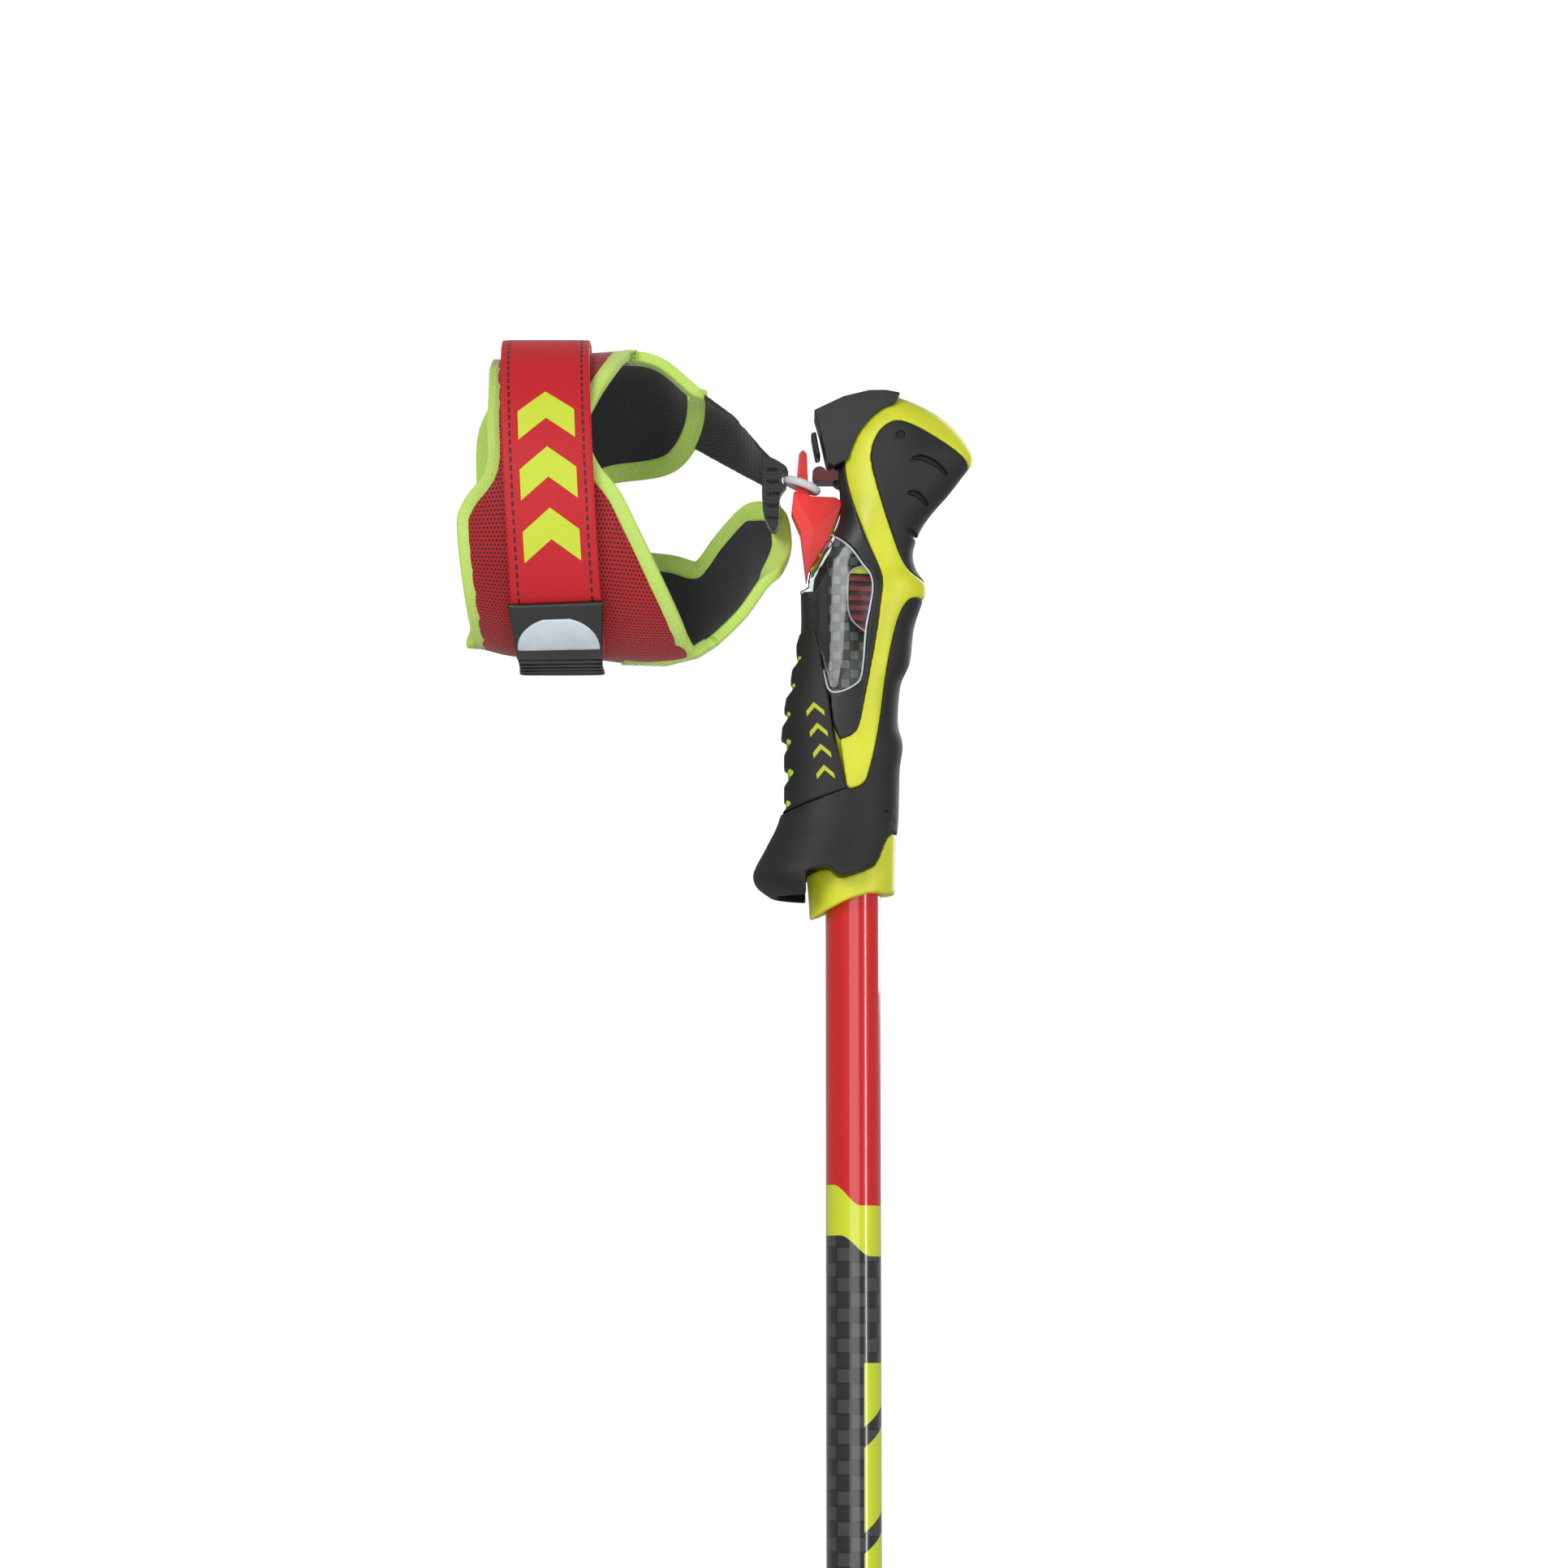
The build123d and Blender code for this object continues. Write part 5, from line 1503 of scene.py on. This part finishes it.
def build_world():
    """White backdrop that is seen brighter than it lights."""
    scene = bpy.context.scene
    world = bpy.data.worlds.new("studio")
    scene.world = world
    world.use_nodes = True
    background = world.node_tree.nodes["Background"]
    background.inputs["Color"].default_value = (1.0, 1.0, 1.0, 1.0)
    t = Tree(world.node_tree)
    path = world.node_tree.nodes.new("ShaderNodeLightPath").outputs
    bounced = t.math("ADD", path["Glossy Depth"], path["Diffuse Depth"])
    straight = t.math("LESS_THAN", bounced, 0.5)
    through = t.math("MULTIPLY", path["Is Transmission Ray"], straight)
    seen = t.math("MAXIMUM", path["Is Camera Ray"], through)
    # The backdrop shows white, also through the clear cover, and lights the object with a third of that.
    strength = t.math("MULTIPLY_ADD", seen, BACKDROP_SEEN - BACKDROP_LIGHT, BACKDROP_LIGHT)
    t.link(strength, background.inputs["Strength"])
    scene.view_settings.view_transform = "Standard"


def build_lights():
    """Key, soft front, narrow strip for the shaft's highlight, and rim."""
    area_light("key", (-0.9, -1.4, 1.9), 0.8, 0.8, 15.0, 0.5)
    area_light("front", (0.1, -1.9, 0.9), 1.4, 1.4, 9.0, 0.0)
    area_light("strip", (1.2, -0.9, 1.1), 0.14, 1.6, 7.0)
    area_light("rim", (0.7, 1.1, 1.6), 0.6, 1.0, 8.0, 0.5)


def build_camera():
    """Long lens, level with the grip and a little below it."""
    data = bpy.data.cameras.new("camera")
    data.lens = 100.0
    data.sensor_width = 36.0
    camera = bpy.data.objects.new("camera", data)
    bpy.context.scene.collection.objects.link(camera)
    look = Vector(CAMERA_LOOK)
    rise = math.radians(CAMERA_RISE)
    camera.location = look + Vector((0.0, -math.cos(rise), math.sin(rise))) * CAMERA_DISTANCE
    camera.rotation_euler = (look - camera.location).to_track_quat("-Z", "Y").to_euler()
    bpy.context.scene.camera = camera


# ---------------------------------------------------------------- add-on

class PoleFinish(bpy.types.PropertyGroup):
    """Colours that a user would change."""

    lime: bpy.props.FloatVectorProperty(
        name="Lime plastic", description="Side bands and collar", subtype="COLOR", size=4,
        min=0.0, max=1.0, default=rgb(220, 225, 48))
    rubber: bpy.props.FloatVectorProperty(
        name="Rubber", description="Pads and hand rest", subtype="COLOR", size=4,
        min=0.0, max=1.0, default=rgb(38, 38, 39))
    trigger: bpy.props.FloatVectorProperty(
        name="Trigger", description="The strap's release trigger", subtype="COLOR", size=4,
        min=0.0, max=1.0, default=rgb(240, 44, 40))


class PoleSizes(bpy.types.PropertyGroup):
    """Sizes that a user would change."""

    stitch_step: bpy.props.FloatProperty(
        name="Stitch step", description="Distance between stitches on the lime tapes",
        default=0.0022, min=0.001, unit="LENGTH")
    stitch_size: bpy.props.FloatProperty(
        name="Stitch size", description="Thickness of one stitch", default=0.00044, min=0.0001,
        unit="LENGTH")


class BuildOperator:
    """What every operator of the pole shares: it runs its builders in order."""

    bl_options = {"REGISTER", "UNDO"}
    builders = ()

    def execute(self, context):
        for builder in self.builders:
            builder()
        return {"FINISHED"}


class POLE_OT_hardware(BuildOperator, bpy.types.Operator):
    """Finish the shaft, tip, basket, tube, pins, springs and ring"""
    bl_idname = "ski_pole.hardware"
    bl_label = "Shaft and small parts"
    builders = (build_kept_nodes,)


class POLE_OT_grip_core(BuildOperator, bpy.types.Operator):
    """Build the hard lime moulding of the grip"""
    bl_idname = "ski_pole.grip_core"
    bl_label = "Grip core"
    builders = (build_grip_core,)


class POLE_OT_grip_pads(BuildOperator, bpy.types.Operator):
    """Build the rubber pads, the hand rest and the soft inlays"""
    bl_idname = "ski_pole.grip_pads"
    bl_label = "Grip rubber"
    builders = (build_upper_pad, build_grip_rubber, build_palm_pad)


class POLE_OT_window(BuildOperator, bpy.types.Operator):
    """Build the black frame and the clear window with its painted highlight rims"""
    bl_idname = "ski_pole.window"
    bl_label = "Frame and window"
    builders = (build_side_frame, build_window)


class POLE_OT_release(BuildOperator, bpy.types.Operator):
    """Build the release lever and the trigger"""
    bl_idname = "ski_pole.release"
    bl_label = "Lever and trigger"
    builders = (build_lever, build_trigger)


class POLE_OT_loop(BuildOperator, bpy.types.Operator):
    """Build the cord loop, the knot and the webbing"""
    bl_idname = "ski_pole.loop"
    bl_label = "Loop and webbing"
    builders = (build_loop, build_knot, build_webbing)


class POLE_OT_panels(BuildOperator, bpy.types.Operator):
    """Build the harness panels and their bound edges"""
    bl_idname = "ski_pole.panels"
    bl_label = "Harness panels"
    builders = (build_panels, build_bindings)


class POLE_OT_belt(BuildOperator, bpy.types.Operator):
    """Build the belt's layers, its end tab and the ring's webbing"""
    bl_idname = "ski_pole.belt"
    bl_label = "Belt"
    builders = (build_belt, build_tab, build_ring_tab)


class POLE_OT_stage(BuildOperator, bpy.types.Operator):
    """Set the floor, lights, world and camera"""
    bl_idname = "ski_pole.stage"
    bl_label = "Stage"
    builders = (build_floor, build_world, build_lights, build_camera)


OPERATORS = (
    POLE_OT_hardware, POLE_OT_grip_core, POLE_OT_grip_pads, POLE_OT_window, POLE_OT_release,
    POLE_OT_loop, POLE_OT_panels, POLE_OT_belt, POLE_OT_stage)


class POLE_PT_panel(bpy.types.Panel):
    """Sidebar list of the pole's pieces"""
    bl_idname = "POLE_PT_panel"
    bl_label = "Race ski pole"
    bl_space_type = "VIEW_3D"
    bl_region_type = "UI"
    bl_category = "Ski pole"

    def draw(self, context):
        scene = context.scene
        for group in (scene.pole_finish, scene.pole_sizes):
            for label in group.bl_rna.properties.keys():
                if label not in ("rna_type", "name"):
                    self.layout.prop(group, label)
        for operator in OPERATORS:
            self.layout.operator(operator.bl_idname)


CLASSES = (PoleFinish, PoleSizes, *OPERATORS, POLE_PT_panel)


def register():
    for item in CLASSES:
        bpy.utils.register_class(item)
    bpy.types.Scene.pole_finish = bpy.props.PointerProperty(type=PoleFinish)
    bpy.types.Scene.pole_sizes = bpy.props.PointerProperty(type=PoleSizes)


def unregister():
    del bpy.types.Scene.pole_sizes
    del bpy.types.Scene.pole_finish
    for item in reversed(CLASSES):
        bpy.utils.unregister_class(item)


def main():
    register()
    bpy.ops.ski_pole.hardware()
    bpy.ops.ski_pole.grip_core()
    bpy.ops.ski_pole.grip_pads()
    bpy.ops.ski_pole.window()
    bpy.ops.ski_pole.release()
    bpy.ops.ski_pole.loop()
    bpy.ops.ski_pole.panels()
    bpy.ops.ski_pole.belt()
    bpy.ops.ski_pole.stage()


if __name__ == "__main__":
    main()
